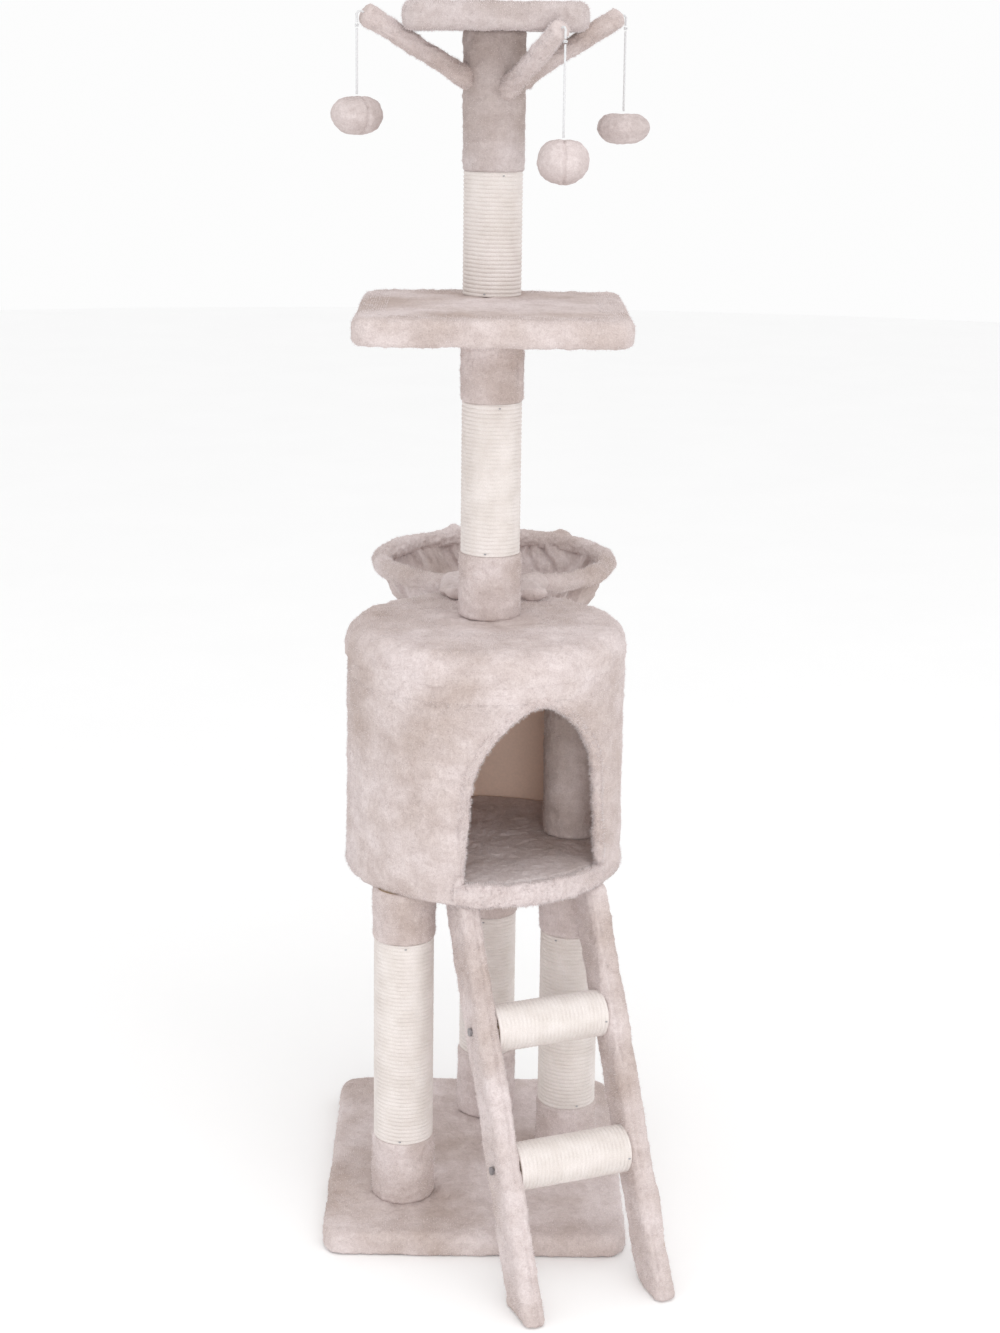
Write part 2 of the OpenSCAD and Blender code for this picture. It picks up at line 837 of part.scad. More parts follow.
base_board();
base_cover();
post_bolts();
post_end_plugs();
left_post_tube();
left_post_sisal();
left_post_lower_sleeve();
left_post_upper_sleeve();
rear_post_tube();
rear_post_sisal();
rear_post_lower_sleeve();
rear_post_upper_sleeve();
right_post_tube();
right_post_sisal();
right_post_lower_sleeve();
right_post_upper_sleeve();
house_floor_board();
house_floor_cover();
house_wall();
house_wall_cover();
house_wall_lining();
house_roof_board();
house_roof_cover();
house_inner_post();
basket_hoop();
basket_rim_wrap();
basket_legs();
basket_bowl();
middle_post_tube();
middle_post_sisal();
middle_post_lower_sleeve();
middle_post_upper_sleeve();
platform_board();
platform_cover();
top_post_tube();
top_post_sisal();
top_post_sleeve();
perch_board();
perch_cover();
arm_dowels();
left_arm_cover();
right_arm_cover();
front_arm_cover();
toy_loops();
left_toy_knot();
left_toy_string();
left_toy_ball();
right_toy_knot();
right_toy_string();
right_toy_ball();
front_toy_knot();
front_toy_string();
front_toy_ball();
rail_boards();
left_rail_cover();
right_rail_cover();
rung_tubes();
lower_rung_sisal();
upper_rung_sisal();
frame_screws();
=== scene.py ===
"""Looks of a plush and sisal cat tree: soft pile, wound rope, gathered basket, swinging toys."""
import json
from math import radians

import bmesh
import bpy
import numpy as np
from mathutils import Euler, Matrix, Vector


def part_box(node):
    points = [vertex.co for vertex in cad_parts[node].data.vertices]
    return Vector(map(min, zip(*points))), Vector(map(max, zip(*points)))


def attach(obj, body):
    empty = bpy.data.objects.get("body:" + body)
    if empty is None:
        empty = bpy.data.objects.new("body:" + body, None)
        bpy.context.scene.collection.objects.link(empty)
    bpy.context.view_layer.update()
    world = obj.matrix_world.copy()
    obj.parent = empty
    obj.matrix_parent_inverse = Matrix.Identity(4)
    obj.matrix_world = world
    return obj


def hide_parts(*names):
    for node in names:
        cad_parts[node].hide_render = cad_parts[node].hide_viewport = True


bl_info = {
    "name": "Cat tree finishes",
    "version": (1, 0, 0),
    "blender": (4, 5, 0),
    "location": "View3D > Sidebar > Cat tree",
    "description": "Plush, rope, basket and toys of a cat tree, built round its frame",
    "category": "Object",
}

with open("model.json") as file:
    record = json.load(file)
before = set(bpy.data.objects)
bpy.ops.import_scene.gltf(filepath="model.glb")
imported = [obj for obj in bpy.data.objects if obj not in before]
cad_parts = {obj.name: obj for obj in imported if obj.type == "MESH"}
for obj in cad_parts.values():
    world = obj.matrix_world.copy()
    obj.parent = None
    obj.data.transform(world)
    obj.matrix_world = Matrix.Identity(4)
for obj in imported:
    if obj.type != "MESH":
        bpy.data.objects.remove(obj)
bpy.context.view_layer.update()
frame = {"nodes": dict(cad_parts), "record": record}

TREE = "tree"
TOYS = ("left", "right", "front")
UP = np.array([0.0, 0.0, 1.0])

FINE_PILE = 0.0007        # height of the finest pile
ROW_STEP = 0.0026         # distance between the rows of a plush board, rail or roof
SLEEVE_T = 0.004          # thickness of the sleeves round the posts
ROPE_T = 0.0025           # rope above the tube it is wound on
LINING_T = 0.002          # thickness of the lining inside the house
FIBRE_HALF = 0.00032      # half the width of a loose fibre at its root
FIBRE_ROOT = 0.0006       # how deep a loose fibre is rooted
GROUND = 0.0002           # lowest that a loose fibre may reach
SAME_POINT = 2e-6         # points closer than this are joined


# ---------------------------------------------------------------- number fields

def cell_value(cells, seed):
    """Random value 0 to 1 for each whole-number cell: a whole-number hash of x, y, z and seed."""
    x, y, z = (cells[..., i].astype(np.int64) & 0xFFFF for i in range(3))
    mixed = (x * 73856093) ^ (y * 19349663) ^ (z * 83492791) ^ (seed * 2654435)
    mixed = (mixed & 0x7FFFFFFF) * 1103515 + 12345
    mixed = ((mixed >> 11) ^ mixed) & 0x7FFFFFFF
    mixed = (mixed * 48271) % 0x7FFFFFFF
    return mixed / float(0x7FFFFFFF)


def noise(points, size, seed=0):
    """Smooth value from -1 to 1 at each point: the eight cell corners' values, blended."""
    p = points / size
    low = np.floor(p)
    t = p - low
    t = t * t * t * (t * (t * 6 - 15) + 10)
    total = np.zeros(points.shape[:-1])
    for corner in np.ndindex(2, 2, 2):
        step = np.array(corner)
        weight = np.prod(np.where(step == 1, t, 1 - t), axis=-1)
        total += weight * cell_value(low + step, seed)
    return total * 2 - 1


def bell(x, width):
    """Bell curve of x: 1 at nought, falling off over width."""
    return np.exp(-((x / width) ** 2))


def turn_gap(a, b):
    """Signed smallest angle from b to a, in radians."""
    return (a - b + np.pi) % (2 * np.pi) - np.pi


def full_turn(count):
    """Even turns all the way round, in radians, without the last one that meets the first."""
    return np.linspace(0, 2 * np.pi, count, endpoint=False)


def level(turn):
    """Level unit directions at the given turns: cosine, sine and nought."""
    return np.stack([np.cos(turn), np.sin(turn), 0 * turn], -1)


def unit(vectors):
    """Vectors divided by their lengths."""
    return vectors / np.linalg.norm(vectors, axis=-1, keepdims=True)


def ring_round(turn, first, second, wide=1, high=1):
    """Ring of offsets: wide by the turn's cosine along first, high by its sine along second.

    First and second are one direction each, or one for each row of a path.
    """
    return (wide * np.cos(turn)[:, None] * first[..., None, :]
            + high * np.sin(turn)[:, None] * second[..., None, :])


def travelled(line):
    """Distance gone along a line of points, at each of them."""
    return np.concatenate([[0], np.cumsum(np.linalg.norm(np.diff(line, axis=0), axis=1))])


def resample(line, distances):
    """Points of a line at the given distances along it."""
    gone = travelled(line)
    return np.stack([np.interp(distances, gone, line[:, i]) for i in range(line.shape[1])], -1)


def sewn(gap, depth, width, lip, lip_at, lip_width):
    """Rise across a sewn seam: a groove with a lip beside it, both bell curves of the gap."""
    return -depth * bell(gap, width) + lip * bell(gap - lip_at, lip_width)


# ---------------------------------------------------------------- meshes from grids

def grid_normals(points):
    """Unit normals of a ring-wise grid: the cross product of its two neighbour differences."""
    across = np.roll(points, -1, 1) - np.roll(points, 1, 1)
    along = np.gradient(points, axis=0)
    normals = np.cross(across, along)
    size = np.linalg.norm(normals, axis=-1, keepdims=True)
    return normals / np.maximum(size, 1e-12)


def outward(points):
    """Grid normals turned to point away from the grid's middle."""
    normals = grid_normals(points)
    middle = points.reshape(-1, 3).mean(0)
    return normals * np.sign(np.sum(normals * (points - middle)))


def outward_tube(points):
    """Grid normals turned to point away from the middle of each row."""
    normals = grid_normals(points)
    middle = points.mean(1, keepdims=True)
    return normals * np.sign(np.sum(normals * (points - middle)))


def close_ends(path, points):
    """Adds a row at each end of a tube's points, shrunk to the path's own end."""
    first, last = (np.repeat(path[i][None, None], points.shape[1], 1) for i in (0, -1))
    return np.concatenate([first, points, last])


def pile(points, normals, lump, seed, fine=FINE_PILE):
    """Moves points along their normals by noise of four sizes, from brushed lumps to fine pile."""
    rise = lump * noise(points, 0.030, seed) + 0.6 * lump * noise(points, 0.013, seed + 1)
    rise += fine * noise(points, 0.0055, seed + 2) + 0.7 * fine * noise(points, 0.0028, seed + 3)
    return points + normals * rise[..., None]


def mesh_object(name, points, faces, finish, uv=None):
    """New mesh from an array of points and an array of equal-sided faces."""
    mesh = bpy.data.meshes.new(name)
    sides = faces.shape[1]
    mesh.vertices.add(len(points))
    mesh.vertices.foreach_set("co", points.astype(np.float32).ravel())
    mesh.loops.add(faces.size)
    mesh.loops.foreach_set("vertex_index", faces.astype(np.int32).ravel())
    mesh.polygons.add(len(faces))
    mesh.polygons.foreach_set("loop_start", np.arange(0, faces.size, sides, dtype=np.int32))
    mesh.polygons.foreach_set("use_smooth", np.ones(len(faces), dtype=bool))
    if uv is not None:
        layer = mesh.uv_layers.new(name="UVMap")
        layer.data.foreach_set("uv", uv.astype(np.float32).ravel())
    mesh.update(calc_edges=True)
    mesh.materials.append(finish)
    thing = bpy.data.objects.new(name, mesh)
    bpy.context.scene.collection.objects.link(thing)
    return thing


def grid_object(name, points, finish, uv=None, closed=True):
    """Mesh of a grid of points whose columns are joined in a ring.

    Where it is closed, rows that shrink to one point become a pole and faces turn outwards. uv
    is a grid of pairs with one more column than points, so that a wound pattern has no break
    at its seam.
    """
    rows, cols = points.shape[:2]
    here = np.arange(rows * cols).reshape(rows, cols)
    beside = np.roll(here, -1, 1)
    faces = np.stack([here[:-1], beside[:-1], beside[1:], here[1:]], -1).reshape(-1, 4)
    loops = None
    if uv is not None:
        loops = np.stack([uv[:-1, :-1], uv[:-1, 1:], uv[1:, 1:], uv[1:, :-1]], 2)
    thing = mesh_object(name, points.reshape(-1, 3), faces, finish, loops)
    if closed:
        shell = bmesh.new()
        shell.from_mesh(thing.data)
        bmesh.ops.remove_doubles(shell, verts=shell.verts, dist=SAME_POINT)
        bmesh.ops.recalc_face_normals(shell, faces=shell.faces)
        shell.to_mesh(thing.data)
        shell.free()
    return thing


def settle(thing, body, slot, *nodes):
    """Rides a piece on its body and hides the plain solids it stands for."""
    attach(thing, body)
    if nodes:
        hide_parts(*nodes)
    return thing


def even(start, end, step):
    """Even values from start to end, about step apart."""
    return np.linspace(start, end, max(2, int(round(abs(end - start) / step)) + 1))


def plush_piece(name, points, *nodes, cloth="plush"):
    """Finished plush piece on the tree from a grid of points, in place of the nodes named."""
    return settle(grid_object(name, points, finish_of(cloth)), TREE, "plush", *nodes)


def box_of(node):
    """Lowest and highest corner of a frame node as arrays."""
    low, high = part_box(node)
    return np.array(low), np.array(high)


def rounded_outline(width, depth, radius, count):
    """Points evenly spaced round a rectangle with round corners: four quarter arcs, resampled."""
    turn = np.linspace(0, np.pi / 2, 24)
    parts = []
    for i, (sx, sy) in enumerate(((1, 1), (-1, 1), (-1, -1), (1, -1))):
        a = turn + i * np.pi / 2
        centre = np.array([sx * (width / 2 - radius), sy * (depth / 2 - radius)])
        parts.append(centre + radius * np.stack([np.cos(a), np.sin(a)], -1))
    line = np.concatenate(parts + [parts[0][:1]])
    return resample(line, np.linspace(0, travelled(line)[-1], count, endpoint=False))


# ---------------------------------------------------------------- finishes

def new_finish(name, roughness, sheen=0.0, specular=0.25):
    """Empty material with its principled shader's own values set."""
    finish = bpy.data.materials.new(name)
    finish.use_nodes = True
    shader = finish.node_tree.nodes["Principled BSDF"]
    shader.inputs["Roughness"].default_value = roughness
    shader.inputs["Specular IOR Level"].default_value = specular
    shader.inputs["Sheen Weight"].default_value = sheen
    shader.inputs["Sheen Roughness"].default_value = 0.35
    return finish, finish.node_tree, shader


def add_node(tree, kind, **values):
    """Adds a node and sets the named inputs or settings."""
    node = tree.nodes.new(kind)
    for key, value in values.items():
        if key in node.inputs:
            node.inputs[key].default_value = value
        else:
            setattr(node, key, value)
    return node


def colour_noise(tree, coords, scale, detail, low, high, first, second):
    """Noise spread between two colours, with its ramp's ends at low and high."""
    grain = add_node(tree, "ShaderNodeTexNoise", Scale=scale, Detail=detail, Roughness=0.6)
    tree.links.new(coords, grain.inputs["Vector"])
    ramp = tree.nodes.new("ShaderNodeValToRGB")
    ramp.color_ramp.elements[0].position = low
    ramp.color_ramp.elements[1].position = high
    ramp.color_ramp.elements[0].color = first
    ramp.color_ramp.elements[1].color = second
    tree.links.new(grain.outputs["Fac"], ramp.inputs["Fac"])
    return grain, ramp


def multiply(tree, factor, first, second):
    """Multiplies two colour outputs."""
    mix = tree.nodes.new("ShaderNodeMix")
    mix.data_type = "RGBA"
    mix.blend_type = "MULTIPLY"
    mix.inputs[0].default_value = factor
    tree.links.new(first, mix.inputs[6])
    tree.links.new(second, mix.inputs[7])
    return mix.outputs[2]


def opaque(colour, shade=1):
    """A colour with its fourth value, darkened by a share."""
    return tuple(shade * c for c in colour) + (1,)


def plush_finish(name, light, dark, pile_size=0.0016, depth=0.0016):
    """Short pile: wide brushed patches, streaks and tufts in the colour, and a bump of pile."""
    finish, tree, shader = new_finish(name, 0.95, 0.12, 0.08)
    shader.inputs["Sheen Tint"].default_value = (1.0, 0.86, 0.84, 1)
    coords = tree.nodes.new("ShaderNodeTexCoord").outputs["Object"]
    patch = colour_noise(tree, coords, 8, 3, 0.33, 0.62, dark, light)[1].outputs["Color"]
    streak = add_node(tree, "ShaderNodeMapping", Scale=(34, 34, 60))
    tree.links.new(coords, streak.inputs["Vector"])
    brushed = colour_noise(tree, streak.outputs["Vector"], 1, 4, 0.34, 0.60,
                           (0.90, 0.885, 0.88, 1), (1, 1, 1, 1))[1].outputs["Color"]
    tuft_grain, tuft = colour_noise(
        tree, coords, 170, 3, 0.30, 0.62, (0.89, 0.875, 0.87, 1), (1, 1, 1, 1))
    fine_grain, fine = colour_noise(
        tree, coords, 1 / pile_size, 2, 0.30, 0.64, (0.85, 0.835, 0.83, 1), (1, 1, 1, 1))
    colour = multiply(tree, 1.0, multiply(tree, 1.0, patch, brushed), tuft.outputs["Color"])
    colour = multiply(tree, 1.0, colour, fine.outputs["Color"])
    tree.links.new(colour, shader.inputs["Base Color"])
    deep = add_node(tree, "ShaderNodeBump", Strength=0.6, Distance=depth)
    tree.links.new(fine_grain.outputs["Fac"], deep.inputs["Height"])
    wide = add_node(tree, "ShaderNodeBump", Strength=0.55, Distance=depth * 1.8)
    tree.links.new(tuft_grain.outputs["Fac"], wide.inputs["Height"])
    tree.links.new(wide.outputs["Normal"], deep.inputs["Normal"])
    tree.links.new(deep.outputs["Normal"], shader.inputs["Normal"])
    return finish


def rope_finish(name, light, dark):
    """Wound sisal: fibres that slant across each turn, from the piece's own winding map.

    The map's first number runs along the rope and its second counts turns across it.
    """
    finish, tree, shader = new_finish(name, 0.88, 0.12, 0.2)
    coords = tree.nodes.new("ShaderNodeUVMap")
    coords.uv_map = "UVMap"
    lay = add_node(tree, "ShaderNodeMapping", Rotation=(0, 0, 0.6), Scale=(330, 1.3, 1))
    tree.links.new(coords.outputs["UV"], lay.inputs["Vector"])
    fibre_grain, fibre = colour_noise(
        tree, lay.outputs["Vector"], 2.2, 5, 0.25, 0.7, (0.86, 0.845, 0.82, 1), (1, 1, 1, 1))
    place = tree.nodes.new("ShaderNodeTexCoord").outputs["Object"]
    patch = colour_noise(tree, place, 38, 4, 0.32, 0.66, dark, light)[1].outputs["Color"]
    colour = multiply(tree, 1.0, patch, fibre.outputs["Color"])
    tree.links.new(colour, shader.inputs["Base Color"])
    bump = add_node(tree, "ShaderNodeBump", Strength=0.5, Distance=0.0007)
    tree.links.new(fibre_grain.outputs["Fac"], bump.inputs["Height"])
    tree.links.new(bump.outputs["Normal"], shader.inputs["Normal"])
    return finish


def grained_finish(name, light, dark, scale, roughness, metallic=0.0, depth=0.0003):
    """Plain hard or smooth finish with a fine two-colour grain and a light bump."""
    finish, tree, shader = new_finish(name, roughness, specular=0.4)
    shader.inputs["Metallic"].default_value = metallic
    coords = tree.nodes.new("ShaderNodeTexCoord").outputs["Object"]
    grain, ramp = colour_noise(tree, coords, scale, 5, 0.35, 0.65, dark, light)
    tree.links.new(ramp.outputs["Color"], shader.inputs["Base Color"])
    bump = add_node(tree, "ShaderNodeBump", Strength=0.4, Distance=depth)
    tree.links.new(grain.outputs["Fac"], bump.inputs["Height"])
    tree.links.new(bump.outputs["Normal"], shader.inputs["Normal"])
    return finish


def finish_of(kind):
    """The finish of that kind, made once from the scene's colours."""
    name = "finish_" + kind
    if name in bpy.data.materials:
        return bpy.data.materials[name]
    colours = bpy.context.scene.cat_tree_colours
    light, dark = opaque(colours.plush_light), opaque(colours.plush_dark)
    if kind == "plush":
        return plush_finish(name, light, dark)
    # painted shade: the perch and its post get a darker copy of the plush, standing in for the lower
    # light at the top
    if kind == "top_plush":
        shade = colours.painted_top_shade
        return plush_finish(name, opaque(light[:3], shade), opaque(dark[:3], shade))
    if kind == "toy_plush":
        return plush_finish(name, opaque(colours.toy), light, 0.0014, 0.0012)
    if kind == "sisal":
        return rope_finish(name, opaque(colours.rope_light), opaque(colours.rope_dark))
    grain, roughness, metallic, depth, light, dark = {
        "fibre": (40, 0.95, 0, 0.0, opaque(colours.fibre), light),
        "lining": (300, 0.9, 0, 0.0003, opaque(colours.lining), opaque(colours.lining, 0.93)),
        "thread": (900, 0.8, 0, 0.0003, opaque(colours.thread), opaque(colours.thread, 0.84)),
        "steel": (260, 0.35, 1, 0.0003, opaque(colours.steel), opaque(colours.steel, 0.72)),
        "board": (120, 0.75, 0, 0.0003, opaque(colours.board), opaque(colours.board, 0.79)),
        "card": (90, 0.85, 0, 0.0003, opaque(colours.card), opaque(colours.card, 0.8)),
    }[kind]
    return grained_finish(name, light, dark, grain, roughness, metallic, depth)


# ---------------------------------------------------------------- shared surfaces

def ring_profile(inner, outer, low, high, edge, step):
    """Closed half section of a ring: radius and height along its outside, top, inside and foot.

    Outer corners are quarter arcs of the given edge radius.
    """
    turn = even(0, np.pi / 2, step / edge)
    bottom = np.stack([outer - edge + edge * np.sin(turn), low + edge - edge * np.cos(turn)], -1)
    side_z = even(low + edge, high - edge, step)[1:-1]
    side = np.stack([np.full(len(side_z), outer), side_z], -1)
    top = np.stack([outer - edge + edge * np.cos(turn), high - edge + edge * np.sin(turn)], -1)
    inside = np.array([[inner, high], [inner, low], [outer - edge, low]])
    return np.concatenate([bottom, side, top, inside])


def revolve(profile, centre, count):
    """Grid of a profile of radius and height turned round an upright axis at centre."""
    turn = full_turn(count)
    r, z = profile[:, :1], profile[:, 1:]
    return np.stack([
        centre[0] + r * np.cos(turn), centre[1] + r * np.sin(turn), z + 0 * turn], -1)


def plush_sleeve(name, node, seam_turn, seed, cloth="plush"):
    """Sleeve of plush round a post: a turned ring with pile and a sewn seam down one side.

    The seam is a narrow groove with a raised lip beside it, a bell curve in the turn. Only
    the outside gets it, and the pile.
    """
    sides, edge = 112, 0.003
    low, high = box_of(node)
    centre = (low + high) / 2
    outer = (high[0] - low[0]) / 2
    profile = ring_profile(outer - SLEEVE_T, outer, low[2], high[2], edge, 0.0021)
    points = revolve(profile, centre, sides)
    normals = grid_normals(points)
    normals *= np.sign(np.sum(normals * (points - centre) * [1, 1, 0.2], -1).sum())
    rise = sewn(turn_gap(full_turn(sides), seam_turn) * outer, 0.0013, 0.0016, 0.0007, 0.0045, 0.003)
    reach = np.hypot(points[..., 0] - centre[0], points[..., 1] - centre[1])
    showing = (reach > outer - SLEEVE_T / 2)[..., None]
    points = points + normals * np.where(showing, rise[:, None], 0)
    points = np.where(showing, pile(points, normals, 0.0007, seed), points)
    tufts(name + "_fibres", points[:-3], 1600, 0.0022, seed + 900)
    return plush_piece(name, points, node, cloth=cloth)


def wound_rope(name, node, axis_start, axis_end, outer, pitch, seed):
    """Rope wound on a round core: a tube whose radius rises and falls once for each turn.

    The height of the rope above the core is a half circle across each turn, and the phase
    slides by one pitch for each time round, so that the winding is one helix. Noise along
    each turn of the rope makes it a little uneven.
    """
    groove, unevenness, wander, settled, sunk = 0.35, 0.00012, 0.00022, 0.006, 0.001
    core = outer - ROPE_T
    axis_start, axis_end = np.array(axis_start), np.array(axis_end)
    length = np.linalg.norm(axis_end - axis_start)
    along = (axis_end - axis_start) / length
    side = unit(np.cross(along, [0.3, 0.9, 0.1]))
    turn = full_turn(96)
    radial = ring_round(turn, side, np.cross(along, side))
    s = even(0, length, pitch / 7)
    phase = s[:, None] / pitch + turn / (2 * np.pi)
    across = (phase % 1) * 2 - 1
    half = np.sqrt(np.clip(1 - across ** 2, 0, 1))
    place = np.stack([np.floor(phase) * 3.7, turn * 4 + 0 * phase, 0 * phase], -1)
    radius = core + ROPE_T * (groove + (1 - groove) * half)
    radius = radius + unevenness * noise(place, 1.0, seed) * half
    points = axis_start + s[:, None, None] * along + radius[..., None] * radial
    points = points + radial * (unevenness * noise(points, 0.0016, seed + 5))[..., None]
    ease = np.minimum(1, np.minimum(s, length - s) / settled)[:, None]
    points = points + (wander * noise(place, 2.2, seed + 9) * ease)[..., None] * along
    foot, head = (end + (core - sunk) * radial for end in (axis_start, axis_end))
    points = np.concatenate([foot[None], points, head[None]])
    s = np.concatenate([[0], s, [length]])[:, None]
    share = np.linspace(0, 1, len(turn) + 1)
    uv = np.stack([share * 2 * np.pi * outer + 0 * s, s / pitch + share], -1)
    return settle(grid_object(name, points, finish_of("sisal"), uv=uv, closed=False),
                  TREE, "sisal_rope", node)


def slab_surface(low, high, corner, top_edge, bottom_edge):
    """Closed board shape between two corners: a round-cornered outline shrunk to the middle.

    Each row is the outline drawn in by one distance and raised to one height, which follow
    quarter arcs at the bottom and top edges. Nearer the middle than core, a share of the half
    width, the rows shrink by one factor to the middle point.
    """
    core = 0.6
    centre = (low + high) / 2
    width, depth, thick = high - low
    outline = rounded_outline(width, depth, corner, int(2 * (width + depth) / ROW_STEP))
    half_sizes = np.array([width / 2, depth / 2])
    half = min(width, depth) / 2
    turn = even(0, np.pi / 2, ROW_STEP / top_edge)
    flat = even(0, half - bottom_edge, ROW_STEP * 1.6)[:-1]
    rise = even(bottom_edge, thick - top_edge, ROW_STEP)[1:-1]
    over = even(half - top_edge, 0, ROW_STEP)[1:]
    profile = np.concatenate([
        np.stack([flat, 0 * flat], -1),
        np.stack([half - bottom_edge + bottom_edge * np.sin(turn),
                  bottom_edge - bottom_edge * np.cos(turn)], -1),
        np.stack([0 * rise + half, rise], -1),
        np.stack([half - top_edge + top_edge * np.cos(turn),
                  thick - top_edge + top_edge * np.sin(turn)], -1),
        np.stack([over, 0 * over + thick], -1)])
    reach = profile[:, :1, None]
    drawn_in = 1 - (half - reach) / half_sizes
    shrunk = reach / (core * half) * (1 - (1 - core) * half / half_sizes)
    flat_points = centre[:2] + outline * np.where(reach > half * core, drawn_in, shrunk)
    height = low[2] + profile[:, 1:] + 0 * flat_points[..., 0]
    return np.concatenate([flat_points, height[..., None]], -1)


def plush_board(name, node, corner, seed, top_edge, bottom_edge, lump, cloth="plush"):
    """Plush pulled over a flat board: a soft-edged slab with brushed pile."""
    low, high = box_of(node)
    points = slab_surface(low, high, corner, top_edge, bottom_edge)
    points = pile(points, outward(points), lump, seed)
    points[..., 2] = np.maximum(points[..., 2], 2 * GROUND)
    edges = points[len(points) // 5:len(points) * 3 // 5]
    tufts(name + "_fibres", edges, 9000, 0.0024, seed + 900)
    return plush_piece(name, points, node, cloth=cloth)


def spread(count, seed):
    """Values from 0 to 1, one for each number up to count, from the whole-number hash."""
    cells = np.zeros((count, 3))
    cells[:, 0], cells[:, 1] = np.arange(count) % 32768, np.arange(count) // 32768
    return cell_value(cells, seed)


def tufts(name, points, count, length, seed):
    """Loose fibres on a surface: thin three-sided spikes rooted at chosen grid points.

    Each spike stands along the grid's normal, leaning by a chosen amount to either side; its
    root is a small triangle round the normal and its tip is one point. The first two and last
    two rows of the grid have none.
    """
    normals = outward_tube(points)
    rows, columns = points.shape[:2]
    row = (2 + spread(count, seed) * (rows - 4)).astype(int)
    column = (spread(count, seed + 1) * columns).astype(int)
    root = points[row, column] + 0.0012 * (
        np.stack([spread(count, seed + k) for k in (2, 3, 4)], -1) - 0.5)
    up = normals[row, column]
    lean = np.stack([spread(count, seed + k) for k in (5, 6, 7)], -1) - 0.5
    reach = unit(up + 1.1 * lean)
    size = length * (0.45 + 0.55 * spread(count, seed + 8))[:, None]
    side = unit(np.cross(reach, lean + [0.01, 0.02, 0.03]))
    triangle = ring_round(radians(120) * np.arange(3), side, np.cross(reach, side))
    base = (root - FIBRE_ROOT * up)[:, None] + FIBRE_HALF * triangle
    corners = np.concatenate([base, (root + size * reach)[:, None]], 1)
    corners[..., 2] = np.maximum(corners[..., 2], GROUND)
    first = 4 * np.arange(count)[:, None, None]
    faces = first + np.array([[0, 1, 3], [1, 2, 3], [2, 0, 3], [0, 2, 1]])
    thing = mesh_object(name, corners.reshape(-1, 3), faces.reshape(-1, 3), finish_of("fibre"))
    return settle(thing, TREE, "plush")


# ---------------------------------------------------------------- settings

def colour_setting(name, description, value):
    """A colour that a user may change, with its default."""
    return bpy.props.FloatVectorProperty(
        name=name, description=description, default=value, subtype="COLOR", min=0, max=1)


def length_setting(name, description, value):
    """A length in metres that a user may change, with its default."""
    return bpy.props.FloatProperty(
        name=name, description=description, default=value, min=0, unit="LENGTH", precision=4)


class CatTreeColours(bpy.types.PropertyGroup):
    """Colours of the cloth, rope and thread."""
    plush_light: colour_setting("Light plush", "Pile brushed one way", (0.79, 0.705, 0.697))
    plush_dark: colour_setting("Dark plush", "Pile brushed the other way", (0.56, 0.465, 0.428))
    fibre: colour_setting("Pile tips", "Loose fibres along the edges", (0.86, 0.785, 0.785))
    # painted shade: the share by which the plush of the perch and top post is darkened, in place of
    # the lower light there
    painted_top_shade: bpy.props.FloatProperty(
        name="Top shade", default=0.86, min=0.5, max=1.1, subtype="FACTOR",
        description="Brightness of the cloth on the perch and its post, as a share of the rest")
    toy: colour_setting("Toy plush", "Plush of the hanging toys", (0.56, 0.485, 0.468))
    rope_light: colour_setting("Light rope", "Palest sisal", (0.82, 0.765, 0.745))
    rope_dark: colour_setting("Dark rope", "Darkest sisal", (0.73, 0.67, 0.64))
    lining: colour_setting("Lining", "Smooth cloth inside the house", (0.88, 0.67, 0.56))
    thread: colour_setting("Thread", "Strings and knots of the toys", (0.72, 0.72, 0.73))
    steel: colour_setting("Steel", "Screws, bolts, nails and hoop", (0.42, 0.42, 0.44))
    board: colour_setting("Board", "Bare board under the plush", (0.50, 0.36, 0.22))
    card: colour_setting("Card", "Bare cardboard tubes", (0.36, 0.26, 0.17))


class CatTreeSizes(bpy.types.PropertyGroup):
    """Sizes of the finishes that the frame doesn't hold."""
    rope_pitch: length_setting("Rope pitch", "Distance between two turns of the rope", 0.0047)
    door_trim: length_setting("Door edge", "Radius of the plush rolled round the doorway", 0.0060)
    door_width: length_setting("Doorway width", "Width where the arch springs", 0.157)
    door_foot: length_setting("Doorway foot", "Width at the foot of the doorway", 0.175)
    door_height: length_setting("Doorway height", "From the sill to the arch's top", 0.2065)
    door_arch: length_setting("Doorway arch", "Rise of the arch above its sides", 0.0955)
    door_turn: bpy.props.FloatProperty(
        name="Doorway turn", description="Turn of the doorway to the right of straight ahead",
        default=radians(23.2), subtype="ANGLE")


# ---------------------------------------------------------------- operators

